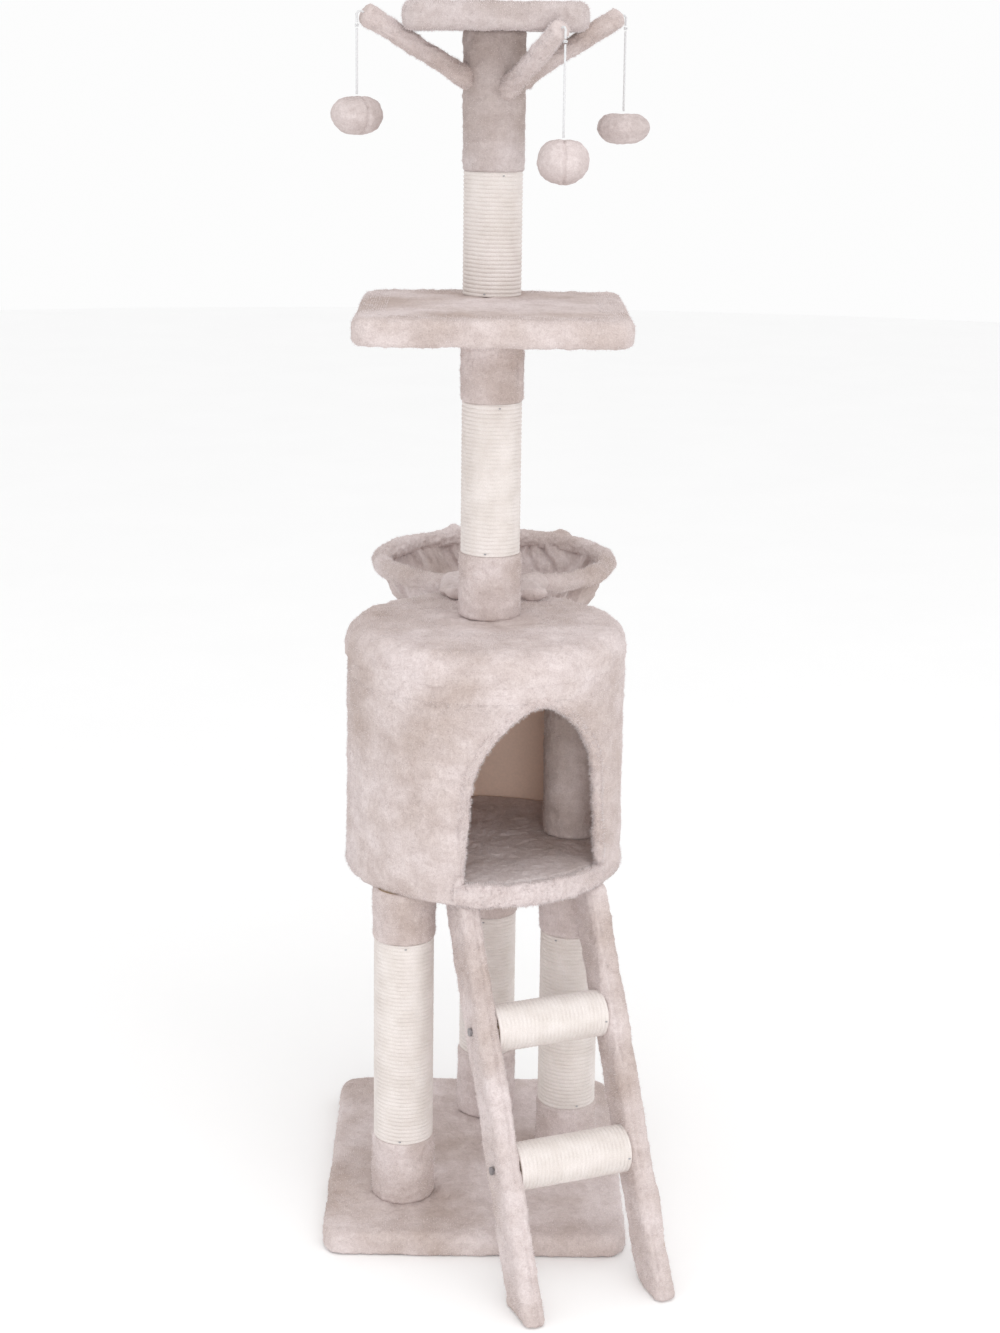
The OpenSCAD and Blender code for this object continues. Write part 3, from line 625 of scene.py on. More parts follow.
class SetStage(bpy.types.Operator):
    """Camera, pale floor, world and soft lights"""
    bl_idname = "cat_tree.stage"
    bl_label = "Stage"

    def execute(self, context):
        scene = context.scene
        camera = bpy.data.objects.new("camera", bpy.data.cameras.new("camera"))
        scene.collection.objects.link(camera)
        camera.location = (-0.007, -2.5177, 1.3305)
        pitch, roll = 0.225, 0.011  # down, and anticlockwise seen from behind, in radians
        tilt = Euler((radians(90) - pitch, 0, 0)).to_matrix()
        camera.rotation_euler = (tilt @ Matrix.Rotation(roll, 3, "Z")).to_euler()
        camera.data.lens = 61.66
        camera.data.shift_x = 0.0185
        camera.data.shift_y = -0.08
        scene.camera = camera
        scene.view_settings.view_transform = "Standard"
        self.floor()
        self.lights(scene)
        return {"FINISHED"}

    def floor(self):
        """Flat disc just under the ground: one ring, drawn in to a tiny one at the middle."""
        radius, middle, drop = 9.0, 0.001, 0.0002
        ring = radius * level(full_turn(64)) - drop * UP
        points = np.stack([ring * [middle, middle, 1], ring])
        finish = grained_finish("floor", (0.97, 0.97, 0.97, 1), (0.96, 0.96, 0.96, 1), 3, 0.9,
                                depth=0.0)
        floor = grid_object("floor", points[:, ::-1], finish, closed=False)

    def lights(self, scene):
        """White world, and four square area lamps: place, turn in degrees, side and watts."""
        world = bpy.data.worlds.new("studio")
        world.use_nodes = True
        background = world.node_tree.nodes["Background"]
        background.inputs["Color"].default_value = (1, 1, 1, 1)
        background.inputs["Strength"].default_value = 0.98
        scene.world = world
        for name, place, turn, size, power in (
            ("key", (1.9, -2.2, 2.6), (50, 0, 40), 1.8, 10),
            ("front", (0.3, -2.7, 0.85), (87, 0, 6), 1.2, 15),
            ("fill", (-2.4, -1.6, 1.5), (72, 0, -56), 2.0, 2),
            ("top", (0.2, -0.9, 3.4), (14, 0, 0), 1.6, 10),
        ):
            lamp = bpy.data.lights.new(name, "AREA")
            lamp.size = size
            lamp.energy = power
            holder = bpy.data.objects.new(name, lamp)
            holder.location = place
            holder.rotation_euler = [radians(a) for a in turn]
            scene.collection.objects.link(holder)


def string_tube(name, path, radius):
    """Twisted string: a round section with three soft lobes that turn as it runs down its path."""
    strands, lay, lobe = 3, 0.006, 0.10
    s = even(0, travelled(path)[-1], 0.0006)
    line = resample(path, s)
    tangent = unit(np.gradient(line, axis=0))
    side = unit(np.cross(tangent, [0.23, 0.97, 0.05]))
    turn = full_turn(12)
    lobes = 1 + lobe * np.cos(strands * (turn + 2 * np.pi * s[:, None] / (lay * strands)))
    size = radius * lobes / (1 + lobe / 2)
    points = line[:, None] + size[..., None] * ring_round(turn, side, np.cross(tangent, side))
    return grid_object(name, close_ends(line, points), finish_of("thread"))


class HangToys(bpy.types.Operator):
    """The three toys: each a ball on a twisted string, with the knot that it hangs from"""
    bl_idname = "cat_tree.toys"
    bl_label = "Toys"

    def execute(self, context):
        for toy in TOYS:
            ball = toy_ball(toy)
            low, high = box_of(f"{toy}_toy_string")
            centre = (low + high) / 2
            radius = (high[0] - low[0]) / 2
            top = np.array([centre[0], centre[1], high[2]])
            length = high[2] - low[2]
            path = [top - share * length * UP for share in (0, 0.2, 0.4, 0.6, 0.8, 1)]
            string = string_tube(f"{toy}_string", np.array(path), radius)
            settle(string, f"{toy}_toy", "string", f"{toy}_toy_string")
            self.knot(toy)
        return {"FINISHED"}

    def knot(self, toy):
        """Trefoil knot: a small tube whose line goes round twice while it waves three times.

        The waves are a cosine outwards and a sine upwards, as shares of the knot's half size.
        """
        round_r, wave_out, wave_up, tube = 0.52, 0.22, 0.42, 0.30
        low, high = box_of(f"{toy}_toy_knot")
        centre, size = (low + high) / 2, (high[0] - low[0]) / 2
        t = full_turn(60)[:, None]
        line = size * ((round_r + wave_out * np.cos(3 * t)) * level(2 * t[:, 0])
                       + wave_up * np.sin(3 * t) * UP)
        tangent = unit(np.roll(line, -1, 0) - np.roll(line, 1, 0))
        side = unit(np.cross(tangent, UP))
        points = centre + line[:, None] + tube * size * ring_round(
            full_turn(8), side, np.cross(tangent, side))
        points = np.concatenate([points, points[:1]])
        knot = grid_object(f"{toy}_knot", points, finish_of("thread"))
        settle(knot, f"{toy}_toy_top", "string", f"{toy}_toy_knot")


TOY_SHAPES = {  # dent at the top, dent underneath, turn of the seam, seed of the pile
    "left": (0.003, 0.000, radians(-60), 3),
    "right": (0.007, 0.002, radians(200), 11),
    "front": (0.003, 0.000, radians(-88), 7),
}


def toy_ball(toy):
    """Stuffed plush toy: a flattened ball with a dent where the string goes in and a seam.

    The section is an ellipse; the dent is a bell curve round the top, and the seam a narrow
    groove down one meridian.
    """
    dent, under_dent, seam, seed = TOY_SHAPES[toy]
    low, high = box_of(f"{toy}_toy_ball")
    centre, half = (low + high) / 2, (high - low) / 2
    rise = np.linspace(-np.pi / 2, np.pi / 2, 61)[:, None]
    turn = full_turn(120)
    points = half * ((np.cos(rise) ** 0.92)[..., None] * level(turn) + np.sin(rise)[..., None] * UP)
    reach = np.hypot(points[..., 0], points[..., 1])
    points[..., 2] -= np.where(rise > 0, dent * bell(reach, 0.011), 0)
    points[..., 2] += np.where(rise < 0, 0.5 * under_dent * bell(reach, 0.012), 0)
    normals = outward(points)
    gap = np.abs(turn_gap(turn, seam)) * np.maximum(reach, 0.004)
    near_pole = np.clip(reach / 0.008, 0, 1)
    points = points + normals * (
        near_pole * sewn(gap, 0.0019, 0.0014, 0.0006, 0.004, 0.0025))[..., None]
    points = pile(points + centre, normals, 0.0008, seed, 0.0006)
    ball = grid_object(f"{toy}_ball", points, finish_of("toy_plush"))
    settle(ball, f"{toy}_toy", "toy_plush", f"{toy}_toy_ball")
    return ball


class CoverBase(bpy.types.Operator):
    """Plush over the base board"""
    bl_idname = "cat_tree.base"
    bl_label = "Base"

    def execute(self, context):
        plush_board("base_plush", "base_cover", 0.024, 21, 0.009, 0.004, 0.0011)
        return {"FINISHED"}


class CoverBoards(bpy.types.Operator):
    """Plush over the square platform and the top perch"""
    bl_idname = "cat_tree.boards"
    bl_label = "Platform and perch"

    def execute(self, context):
        plush_board("platform_plush", "platform_cover", 0.022, 31, 0.0095, 0.008, 0.0009)
        # the perch gets the darker copy of the plush: painted shade
        plush_board("perch_plush", "perch_cover", 0.020, 41, 0.0095, 0.009, 0.0009, "top_plush")
        return {"FINISHED"}


SLEEVES = {  # node: turn of its seam, in degrees from the right, anticlockwise from above
    "left_post_lower_sleeve": 80, "left_post_upper_sleeve": 120,
    "rear_post_lower_sleeve": 60, "rear_post_upper_sleeve": 45,
    "right_post_lower_sleeve": 95, "right_post_upper_sleeve": 130,
    "middle_post_lower_sleeve": 100, "middle_post_upper_sleeve": -35,
    "top_post_sleeve": 100, "house_inner_post": 160,
}


class SleevePosts(bpy.types.Operator):
    """Plush sleeves at the ends of every post"""
    bl_idname = "cat_tree.sleeves"
    bl_label = "Post sleeves"

    def execute(self, context):
        for i, (node, seam) in enumerate(SLEEVES.items()):
            name = node.replace("_sleeve", "_plush").replace("house_inner_post", "inner_post_plush")
            # the top post's sleeve gets the darker copy of the plush: painted shade
            cloth = "top_plush" if node == "top_post_sleeve" else "plush"
            plush_sleeve(name, node, radians(seam), 50 + 7 * i, cloth)
        return {"FINISHED"}


class WindRope(bpy.types.Operator):
    """Sisal rope wound on the posts and the ladder's rungs"""
    bl_idname = "cat_tree.rope"
    bl_label = "Sisal rope"

    def execute(self, context):
        pitch = context.scene.cat_tree_sizes.rope_pitch
        for i, post in enumerate(("left", "rear", "right", "middle", "top")):
            node = f"{post}_post_sisal"
            low, high = box_of(node)
            centre = (low + high) / 2
            outer = (high[0] - low[0]) / 2
            wound_rope(f"{post}_rope", node, (centre[0], centre[1], low[2]),
                       (centre[0], centre[1], high[2]), outer, pitch, 100 + 20 * i)
        for i, rung in enumerate(("lower", "upper")):
            start, end, outer = rung_axis(rung)
            wound_rope(f"{rung}_rung_rope", f"{rung}_rung_sisal", start, end, outer, pitch,
                       210 + 20 * i)
        return {"FINISHED"}


def ladder_frame():
    """The ladder's turn, slope and the middle of its top, read from its rungs and rails."""
    lower, upper = (np.array(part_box(f"{r}_rung_sisal")) for r in ("lower", "upper"))
    run = upper.mean(0) - lower.mean(0)
    turn = -np.arctan2(run[0], run[1])
    slope = np.arctan2(np.hypot(run[0], run[1]), run[2])
    top = box_of("left_rail_cover")[1][2]
    middle = upper.mean(0) + run * (top - upper.mean(0)[2]) / run[2]
    return turn, slope, middle


def rung_axis(rung):
    """Two ends and radius of a rung, from its box and the ladder's turn."""
    turn, slope, middle = ladder_frame()
    low, high = box_of(f"{rung}_rung_sisal")
    centre, outer = (low + high) / 2, (high[2] - low[2]) / 2
    length = (high[0] - low[0] - 2 * outer * abs(np.sin(turn))) / np.cos(turn)
    half = 0.5 * length * level(turn)
    return centre - half, centre + half, outer


# ---------------------------------------------------------------- house

ROOF_LIP = 0.036          # from the roof's top down to the edge of its cloth on the wall
WALL_SEAM = radians(196)  # turn of the wall's upright seam


def house_measure():
    """The house's centre, radii and heights from its nodes, and the doorway's from the sizes."""
    low, high = box_of("house_roof_cover")
    room_low, room_high = box_of("house_wall_lining")
    wall_low, wall_high = box_of("house_wall")
    sizes = bpy.context.scene.cat_tree_sizes
    return {
        "centre": (low + high) / 2,
        "outer": (high[0] - low[0]) / 2,
        "wall": (wall_high[0] - wall_low[0]) / 2,
        "lining": (room_high[0] - room_low[0]) / 2,
        "room": (room_high[0] - room_low[0]) / 2 - LINING_T,
        "under": wall_low[2],
        "floor": box_of("house_floor_cover")[1][2],
        "roof_under": low[2],
        "roof": high[2],
        "door_half": sizes.door_width / 2,
        "door_foot": sizes.door_foot / 2,
        "door_arch": sizes.door_arch,
        "door_top": box_of("house_floor_cover")[1][2] + sizes.door_height,
        "door_turn": sizes.door_turn - np.pi / 2,
    }


def door_side(h, low, step):
    """Half width and height up one side of the doorway, from low to the top of the arch.

    The sides lean in to where the arch springs; the arch is a quarter of a rounded diamond:
    cosine and sine to the power arch_power, each times its half size.
    """
    arch_power = 1.25
    spring = h["door_top"] - h["door_arch"]
    z = even(low, spring, step)
    lean = h["door_half"] + (h["door_foot"] - h["door_half"]) * (spring - z) / (spring - low)
    a = even(0, np.pi / 2, step / h["door_arch"])[1:]
    arch_half = h["door_half"] * np.cos(a).clip(0, 1) ** arch_power
    return (np.concatenate([lean, arch_half]),
            np.concatenate([z, spring + h["door_arch"] * np.sin(a) ** arch_power]))


def door_rows(h, step):
    """Height and half width of the doorway for each row of the wall, from the hem to the roof.

    The doorway is shut from the top of its arch to the roof.
    """
    width, z = door_side(h, h["under"], step)
    above = even(h["door_top"], h["roof_under"], step)[1:]
    width[-1] = 0
    return np.concatenate([z, above]), np.concatenate([width, 0 * above])


def door_shell(name, h, outer, inner, finish, slot, node, step, lump, seed):
    """Upright shell with the doorway cut out: a loop out along the outer arc and back inside.

    Each row's arc starts at one door edge and ends at the other, so that the grid follows the
    arch. The first and last rows fold to the middle of the thickness and close the shell.
    With a lump it is plush: its top is tucked in under the roof's lip, and one upright seam
    has a groove and a lip that fades sideways. Without, it is smooth and a little uneven.
    """
    tuck, tuck_run, lip_high, lip_run, wave = 0.0028, 0.004, 0.0012, 0.03, 0.0016
    z, width = door_rows(h, step)
    count = int(2 * np.pi * outer / step)
    u = np.linspace(0, 1, count)[None]

    def arc(radius, share):
        edge = np.arcsin(width / radius)[:, None]
        angle = h["door_turn"] + edge + share * (2 * np.pi - 2 * edge)
        flat = level(angle)
        place = h["centre"] * [1, 1, 0] + radius * flat
        place[..., 2] = z[:, None]
        return place, flat

    out, out_normal = arc(outer, u)
    back, back_normal = arc(inner, u[:, ::-1])
    if lump > 0:
        tucked = np.clip((z - h["roof"] + ROOF_LIP) / tuck_run, 0, 1)[:, None, None]
        out = out - tuck * tucked * out_normal
        seam = turn_gap(np.arctan2(out_normal[..., 1], out_normal[..., 0]), WALL_SEAM) * outer
        lip = np.clip(seam / 0.004, 0, 1) * np.clip((lip_run - seam) / lip_run, 0, 1)
        rise = lip_high * (lip - bell(seam, 0.0016)) + wave * noise(out, 0.11, seed + 8)
        out = out + out_normal * rise[..., None]
        out = np.where(tucked > 0, out, pile(out, out_normal, lump, seed))
        tufts(name + "_fibres", out[:, ::2], 14000, 0.0022, seed + 60)
    else:
        back = back - back_normal * (0.0006 * noise(back, 0.05, seed))[..., None]
    points = np.concatenate([out, back], 1)
    middle, _ = arc((outer + inner) / 2, u)
    fold = np.concatenate([middle, middle[:, ::-1]], 1)
    points = np.concatenate([fold[:1], points, fold[-1:]])
    return settle(grid_object(name, points, finish), TREE, slot, node)


def door_path(h, radius, count):
    """Points up one side of the doorway, over the arch and down the other, on a round wall."""
    width, z = door_side(h, h["under"] + 0.002, 0.002)
    line = np.stack([np.concatenate([-width, width[::-1][1:]]),
                     np.concatenate([z, z[::-1][1:]])], -1)
    x, z = resample(line, np.linspace(0, travelled(line)[-1], count)).T
    out = level(h["door_turn"] + np.arcsin(x / radius))
    path = h["centre"] * [1, 1, 0] + radius * out
    path[:, 2] = z
    return path, out


def bead(path, out, wide, high, sides, seed, lump, fine=FINE_PILE):
    """Closed roll along a path: an ellipse set across it, wide outwards and high sideways."""
    tangent = unit(np.gradient(path, axis=0))
    ring = ring_round(full_turn(sides), out, np.cross(tangent, out), wide, high)
    return close_ends(path, pile(path[:, None] + ring, unit(ring), lump, seed, fine))


class BuildHouse(bpy.types.Operator):
    """Plush wall with its arched doorway, soft roof, floor, sill and lining"""
    bl_idname = "cat_tree.house"
    bl_label = "House"

    def execute(self, context):
        clear, overhang = 0.0002, 0.0012
        h = house_measure()
        door_shell("house_wall_plush", h, h["outer"], h["wall"] + clear, finish_of("plush"),
                   "plush", "house_wall_cover", 0.0027, 0.0012, 300)
        door_shell("house_lining", h, h["lining"], h["room"], finish_of("lining"),
                   "lining", "house_wall_lining", 0.006, 0, 310)
        middle = (h["outer"] + h["room"]) / 2
        path, out = door_path(h, middle, 360)
        wide = (h["outer"] - h["room"]) / 2 + overhang
        trim = context.scene.cat_tree_sizes.door_trim
        edge = bead(path, out, wide, trim, 22, 320, 0.0011, 0.0010)
        plush_piece("door_edge_roll", edge)
        tufts("door_edge_fibres", edge, 7000, 0.0042, 700)
        self.hem(h, middle, wide)
        self.roof(h)
        self.floor(h)
        self.sill(h, middle, wide)
        return {"FINISHED"}

    def hem(self, h, middle, wide):
        """Rolled lower edge of the wall, from one door edge round the back to the other."""
        above, wander, half_high = 0.0042, 0.0012, 0.0052
        gap = np.arcsin(h["door_foot"] / middle)
        out = level(h["door_turn"] + np.linspace(gap, 2 * np.pi - gap, 420))
        path = h["centre"] * [1, 1, 0] + middle * out
        path[:, 2] = h["under"] + above + wander * noise(path * [1, 1, 0], 0.03, 7)
        edge = bead(path, out, wide, half_high, 18, 330, 0.0012)
        plush_piece("house_hem", edge)
        tufts("hem_fibres", edge, 6000, 0.0036, 720)

    def roof(self, h):
        """Roof: a flat disc whose edge rolls over in a soft quarter ellipse to a lip on the wall.

        Gathers run in from the edge: noise of the turn, under a bell curve of the radius.
        """
        outer, top, under = h["outer"] + 0.0008, h["roof"], h["roof_under"] - 0.001
        reach, drop = 0.021, 0.026
        a = even(0, np.pi / 2, ROW_STEP / reach)
        flat = even(0, outer - reach, 0.0027)
        low = even(top - drop, top - ROOF_LIP, 0.0027)[1:]
        profile = np.concatenate([
            np.stack([flat, 0 * flat + top], -1),
            np.stack([outer - reach + reach * np.sin(a[1:]), top - drop + drop * np.cos(a[1:])], -1),
            np.stack([0 * low + outer, low], -1),
            [[outer - 0.002, top - ROOF_LIP - 0.0015], [outer - 0.009, top - ROOF_LIP],
             [outer - 0.012, under], [0, under]]])
        points = revolve(profile, h["centre"], 380)
        normals = outward(points)
        from_centre = points - h["centre"]
        reach_out = np.hypot(from_centre[..., 0], from_centre[..., 1])
        turn = np.arctan2(from_centre[..., 1], from_centre[..., 0])
        place = 9 * level(turn) + 60 * reach_out[..., None] * UP
        gathers = 0.0010 * noise(place, 1.0, 341) * bell(reach_out - outer + 0.012, 0.016)
        ripple = 0.0007 * noise(points * [0.35, 1, 1], 0.012, 343)
        furry = pile(points + normals * (gathers + ripple)[..., None], normals, 0.0012, 340)
        above_lip = points[..., 2] > top - ROOF_LIP - 0.0012
        points = np.where(above_lip[..., None], furry, points)
        tufts("roof_fibres", points[20:-6], 9000, 0.0022, 380)
        plush_piece("house_roof_plush", points, "house_roof_cover")

    def floor(self, h):
        """Round floor inside: a flat disc with a narrow slope at its edge."""
        low, high, outer = h["under"], h["floor"], h["room"] - 0.0005
        flat = even(0, h["room"] - 0.004, 0.003)
        profile = np.concatenate([
            np.stack([flat, 0 * flat + low + 0.0005], -1),
            [[outer, low + 0.004], [outer, high - 0.004]],
            np.stack([flat[::-1], 0 * flat + high], -1)])
        points = revolve(profile, h["centre"], 300)
        plush_piece("house_floor_plush", pile(points, outward(points), 0.0011, 350),
                    "house_floor_cover")

    def sill(self, h, middle, wide):
        """Thick sill that fills the foot of the doorway, along an arc of the wall.

        Its section is a rounded box: the cosine to the power 0.55 by the sine to the power 0.7.
        """
        low, high = h["under"], h["floor"]
        edge = np.arcsin(h["door_foot"] / middle) + 0.01
        out = level(h["door_turn"] + np.linspace(-edge, edge, 90))
        path = h["centre"] * [1, 1, 0] + (middle + 0.0020) * out
        path[:, 2] = (low + high) / 2 - 0.0005
        turn = full_turn(44)
        across = np.sign(np.cos(turn)) * np.abs(np.cos(turn)) ** 0.55 * wide
        rise = np.sign(np.sin(turn)) * np.abs(np.sin(turn)) ** 0.7 * ((high - low) / 2 + 0.001)
        ring = across[:, None] * out[:, None] + rise[:, None] * UP
        points = pile(path[:, None] + ring, unit(ring), 0.0014, 360, 0.0010)
        plush_piece("door_sill", close_ends(path, points))
        tufts("sill_fibres", points, 6000, 0.0036, 740)


# ---------------------------------------------------------------- basket

LEG_WRAP = 0.0065         # from a leg's side to its middle line


class BuildBasket(bpy.types.Operator):
    """Padded hoop, gathered bowl and the two padded legs on the roof"""
    bl_idname = "cat_tree.basket"
    bl_label = "Basket"

    def execute(self, context):
        low, high = box_of("basket_hoop")
        self.centre = (low + high) / 2
        self.rod = (high[2] - low[2]) / 2
        self.hoop = (high[0] - low[0]) / 2 - self.rod
        rim_low, rim_high = box_of("basket_rim_wrap")
        self.rim = (rim_high[2] - rim_low[2]) / 2
        self.roof = box_of("house_roof_cover")[1][2]
        self.rim_roll()
        self.bowl()
        self.legs()
        return {"FINISHED"}

    def rim_roll(self):
        """Padded hoop: a tube round a circle, with cross folds, soft lumps and two knots.

        The tube's radius is its plain radius plus folds that lean along the hoop, plus a bell
        curve at each knot.
        """
        round_turn = full_turn(480)[:, None]
        tube = full_turn(40)[None]
        flat = 0 * round_turn + 0 * tube
        centre_line = level(round_turn)
        outwards = centre_line * np.cos(tube)[..., None] + UP * np.sin(tube)[..., None]
        place = np.stack([round_turn * 13 + 0.9 * np.sin(tube), 2 * np.cos(tube) + flat,
                          2 * np.sin(tube) + flat], -1)
        fold = 1 - np.abs(noise(place, 1.0, 401)) * 2
        wide = noise(np.stack([round_turn * 4 + flat, flat, flat], -1), 1.0, 403)
        knots = sum(
            size * bell(turn_gap(round_turn, radians(at)) * self.hoop, 0.011)
            * bell(turn_gap(tube, radians(62)), 1.3)
            for at, size in ((111, 0.0065), (52, 0.006)))
        radius = self.rim * 0.97 + 0.0012 * fold + 0.0009 * wide + knots
        points = self.centre + self.hoop * centre_line + radius[..., None] * outwards
        points = pile(points, outwards, 0.0009, 405)
        points = np.concatenate([points, points[:1]])
        tufts("basket_rim_fibres", points, 8000, 0.0026, 460)
        plush_piece("basket_rim", points, "basket_rim_wrap")

    def bowl(self):
        """Gathered bowl: its radius falls with the depth to the power 1.5, down to a flat foot.

        Pleats are the noise of the turn alone, bent a little as they run down, folded to sharp
        valleys; they push the cloth in and out along its normal. Outside and inside follow the
        same pleats, and meet in a fold under the hoop.
        """
        low, high = box_of("basket_bowl")
        depth = self.centre[2] - low[2]
        foot, cloth, pleat, crease = 0.062, 0.0042, 0.0120, 0.0040
        turn = full_turn(640)[None]
        a = np.linspace(0, 1, 46)[:, None]

        def sheet(inset):
            side_r = foot + (self.hoop - inset - foot) * (1 - a ** 1.5)
            side_z = -(depth - inset) * a
            base_r = np.linspace(foot, 0, 16)[1:, None]
            r = np.concatenate([side_r, base_r])
            z = np.concatenate([side_z, 0 * base_r - (depth - inset)])
            down = np.linspace(0, 1, len(r))[:, None]
            bend = 0.10 * np.sin(7 * down + 3 * np.cos(2 * turn))
            place = np.stack([np.cos(turn + bend) * 8.0, np.sin(turn + bend) * 8.0, 1.6 * down
                              + 0 * turn], -1)
            deep = np.abs(noise(place, 1.0, 421))
            fine = np.abs(noise(place * [2.1, 2.1, 1], 1.0, 423))
            strength = np.clip(1.15 - down * 1.25, 0.0, 1) * np.clip(r / 0.03, 0, 1)
            push = strength * (pleat * (deep - 0.32) + crease * (fine - 0.3))
            sag = 0.004 * noise(place * [0.3, 0.3, 1], 1.0, 427) * np.clip(r / 0.05, 0, 1)
            radius = r - push + sag
            height = z - 0.35 * np.abs(push)
            return radius[..., None] * level(turn) + height[..., None] * UP + self.centre

        outer, inner = sheet(0.0), sheet(cloth)
        outer = pile(outer, outward(outer), 0.0008, 431)
        inner = pile(inner, -outward(inner), 0.0008, 433)
        fold = (outer[:1] + inner[:1]) / 2 + 0.002 * UP
        points = np.concatenate([outer[::-1], fold, inner])
        bowl = plush_piece("basket_bowl_cloth", points, "basket_bowl")

    def legs(self):
        """Padded legs. The left one stands for the frame's node, which holds both."""
        low, high = box_of("basket_legs")
        self.leg("left", low[0] + LEG_WRAP, low[1], "basket_legs")
        self.leg("right", high[0] - LEG_WRAP, low[1])

    def leg(self, side, x, front, *nodes):
        """A soft flattened tube from the hoop, over the roof's edge, to its screw.

        Its route is a chosen line, eased by a running mean of seven points. The section is an
        ellipse that varies with noise, swells at the hoop, dips over the screw and closes in a
        quarter ellipse.
        """
        half_wide, half_tall, cap = 0.0155, 0.0100, 0.009
        back = self.centre[1] - np.sqrt(self.hoop ** 2 - (x - self.centre[0]) ** 2)
        hoop, roof = self.centre[2], self.roof
        line = np.array([
            [x, back + 0.004, hoop + 0.002], [x, back - 0.012, hoop + 0.008],
            [x, back - 0.026, roof + 0.010], [x, back - 0.045, roof + 0.009],
            [x, front + 0.02, roof + 0.009], [x, front - 0.004, roof + 0.007]])
        s = even(0, travelled(line)[-1], 0.0018)
        to_end = travelled(line)[-1] - s
        path = resample(line, s)
        for i in (1, 2):
            path[3:-3, i] = np.convolve(path[:, i], np.ones(7) / 7, "valid")
        tangent = unit(np.gradient(path, axis=0))
        across = np.array([1.0, 0, 0])
        end = np.sqrt(np.clip(1 - ((cap - to_end) / cap).clip(0, 1) ** 2, 0.02, 1))
        dent = 1 - 0.35 * bell(to_end - 0.012, 0.006)
        soft = noise(np.stack([s * 70, 0 * s + x * 90, 0 * s], -1), 1.0, 437)
        wide = (half_wide + 0.0030 * soft + 0.003 * bell(s, 0.02)) * end
        tall = (half_tall + 0.0016 * soft) * end * dent + 0.002 * bell(s, 0.014)
        ring = ring_round(full_turn(40), across, -np.cross(across, tangent),
                          wide[:, None, None], tall[:, None, None])
        points = pile(path[:, None] + ring, unit(ring), 0.0022, 440 + int(1000 * x), 0.0010)
        on_roof = points[..., 1] < back - 0.03
        points[..., 2] = np.where(on_roof, np.maximum(points[..., 2], roof - 0.001), points[..., 2])
        plush_piece(f"basket_{side}_leg", close_ends(path, points), *nodes)


# ---------------------------------------------------------------- arms

ARM_TURNS = {"left": radians(207), "right": radians(27), "front": radians(-63)}
ARM_SLOPE = radians(29)
KNOT_OUT = 0.008          # a knot's place outside the end of its arm
KNOT_DOWN = 0.014         # and below it
ARM_IN_POST = 0.029       # from the post's axis to the foot of an arm's cloth


class CoverArms(bpy.types.Operator):
    """Plush round the three toy arms, with a tucked collar at each foot"""
    bl_idname = "cat_tree.arms"
    bl_label = "Toy arms"

    def execute(self, context):
        for i, arm in enumerate(TOYS):
            self.arm(arm, 500 + 20 * i)
        return {"FINISHED"}

    def arm(self, arm, seed):
        """Round bar along a sloping line: radius plus folds, a round end and a collar.

        The collar is a bell curve near the post; the end closes as a quarter ellipse.
        """
        plain_radius, cap_run = 0.0108, 0.005
        out = level(ARM_TURNS[arm])
        knot = sum(box_of(f"{arm}_toy_knot")) / 2
        tip = knot - KNOT_OUT * out + KNOT_DOWN * UP
        axis = sum(box_of("top_post_sleeve")) / 2
        along = np.cos(ARM_SLOPE) * out + np.sin(ARM_SLOPE) * UP
        length = (np.linalg.norm((tip - axis)[:2]) - ARM_IN_POST) / np.cos(ARM_SLOPE)
        start = tip - along * length
        side = unit(np.cross(along, UP))
        turn = full_turn(56)
        s = even(0, length, 0.0018)
        radial = ring_round(turn, side, np.cross(side, along))
        cap = ((s - length + cap_run) / cap_run).clip(0, 1)[:, None]
        radius = plain_radius * np.sqrt(np.clip(1 - 0.55 * cap ** 2, 0, 1)) + 0 * turn
        place = np.stack([s[:, None] * 55 + 1.5 * np.sin(turn), np.cos(turn) * 1.4 + 0 * cap,
                          np.sin(turn) * 1.4 + 0 * cap], -1)
        radius += 0.0009 * noise(place, 1.0, seed) + 0.0006 * (1 - 2 * np.abs(
            noise(place * [2, 1, 1], 1.0, seed + 1)))
        radius += 0.0035 * bell(s - 0.010, 0.009)[:, None] * (
            0.6 + 0.8 * noise(place, 1.6, seed + 2))
        gap = turn_gap(turn, radians(250)) * 0.011
        radius += sewn(gap, 0.0010, 0.0013, 0.0005, 0.004, 0.003)
        line = start + s[:, None] * along
        points = line[:, None] + radius[..., None] * radial
        points = pile(points, radial, 0.0007, seed + 3)
        tufts(f"{arm}_arm_fibres", points, 2600, 0.0026, seed + 10)
        plush_piece(f"{arm}_arm_plush", close_ends(line, points), f"{arm}_arm_cover")


# ---------------------------------------------------------------- ladder

RAIL_CORNER = 0.007       # corner radius of the frame's rails


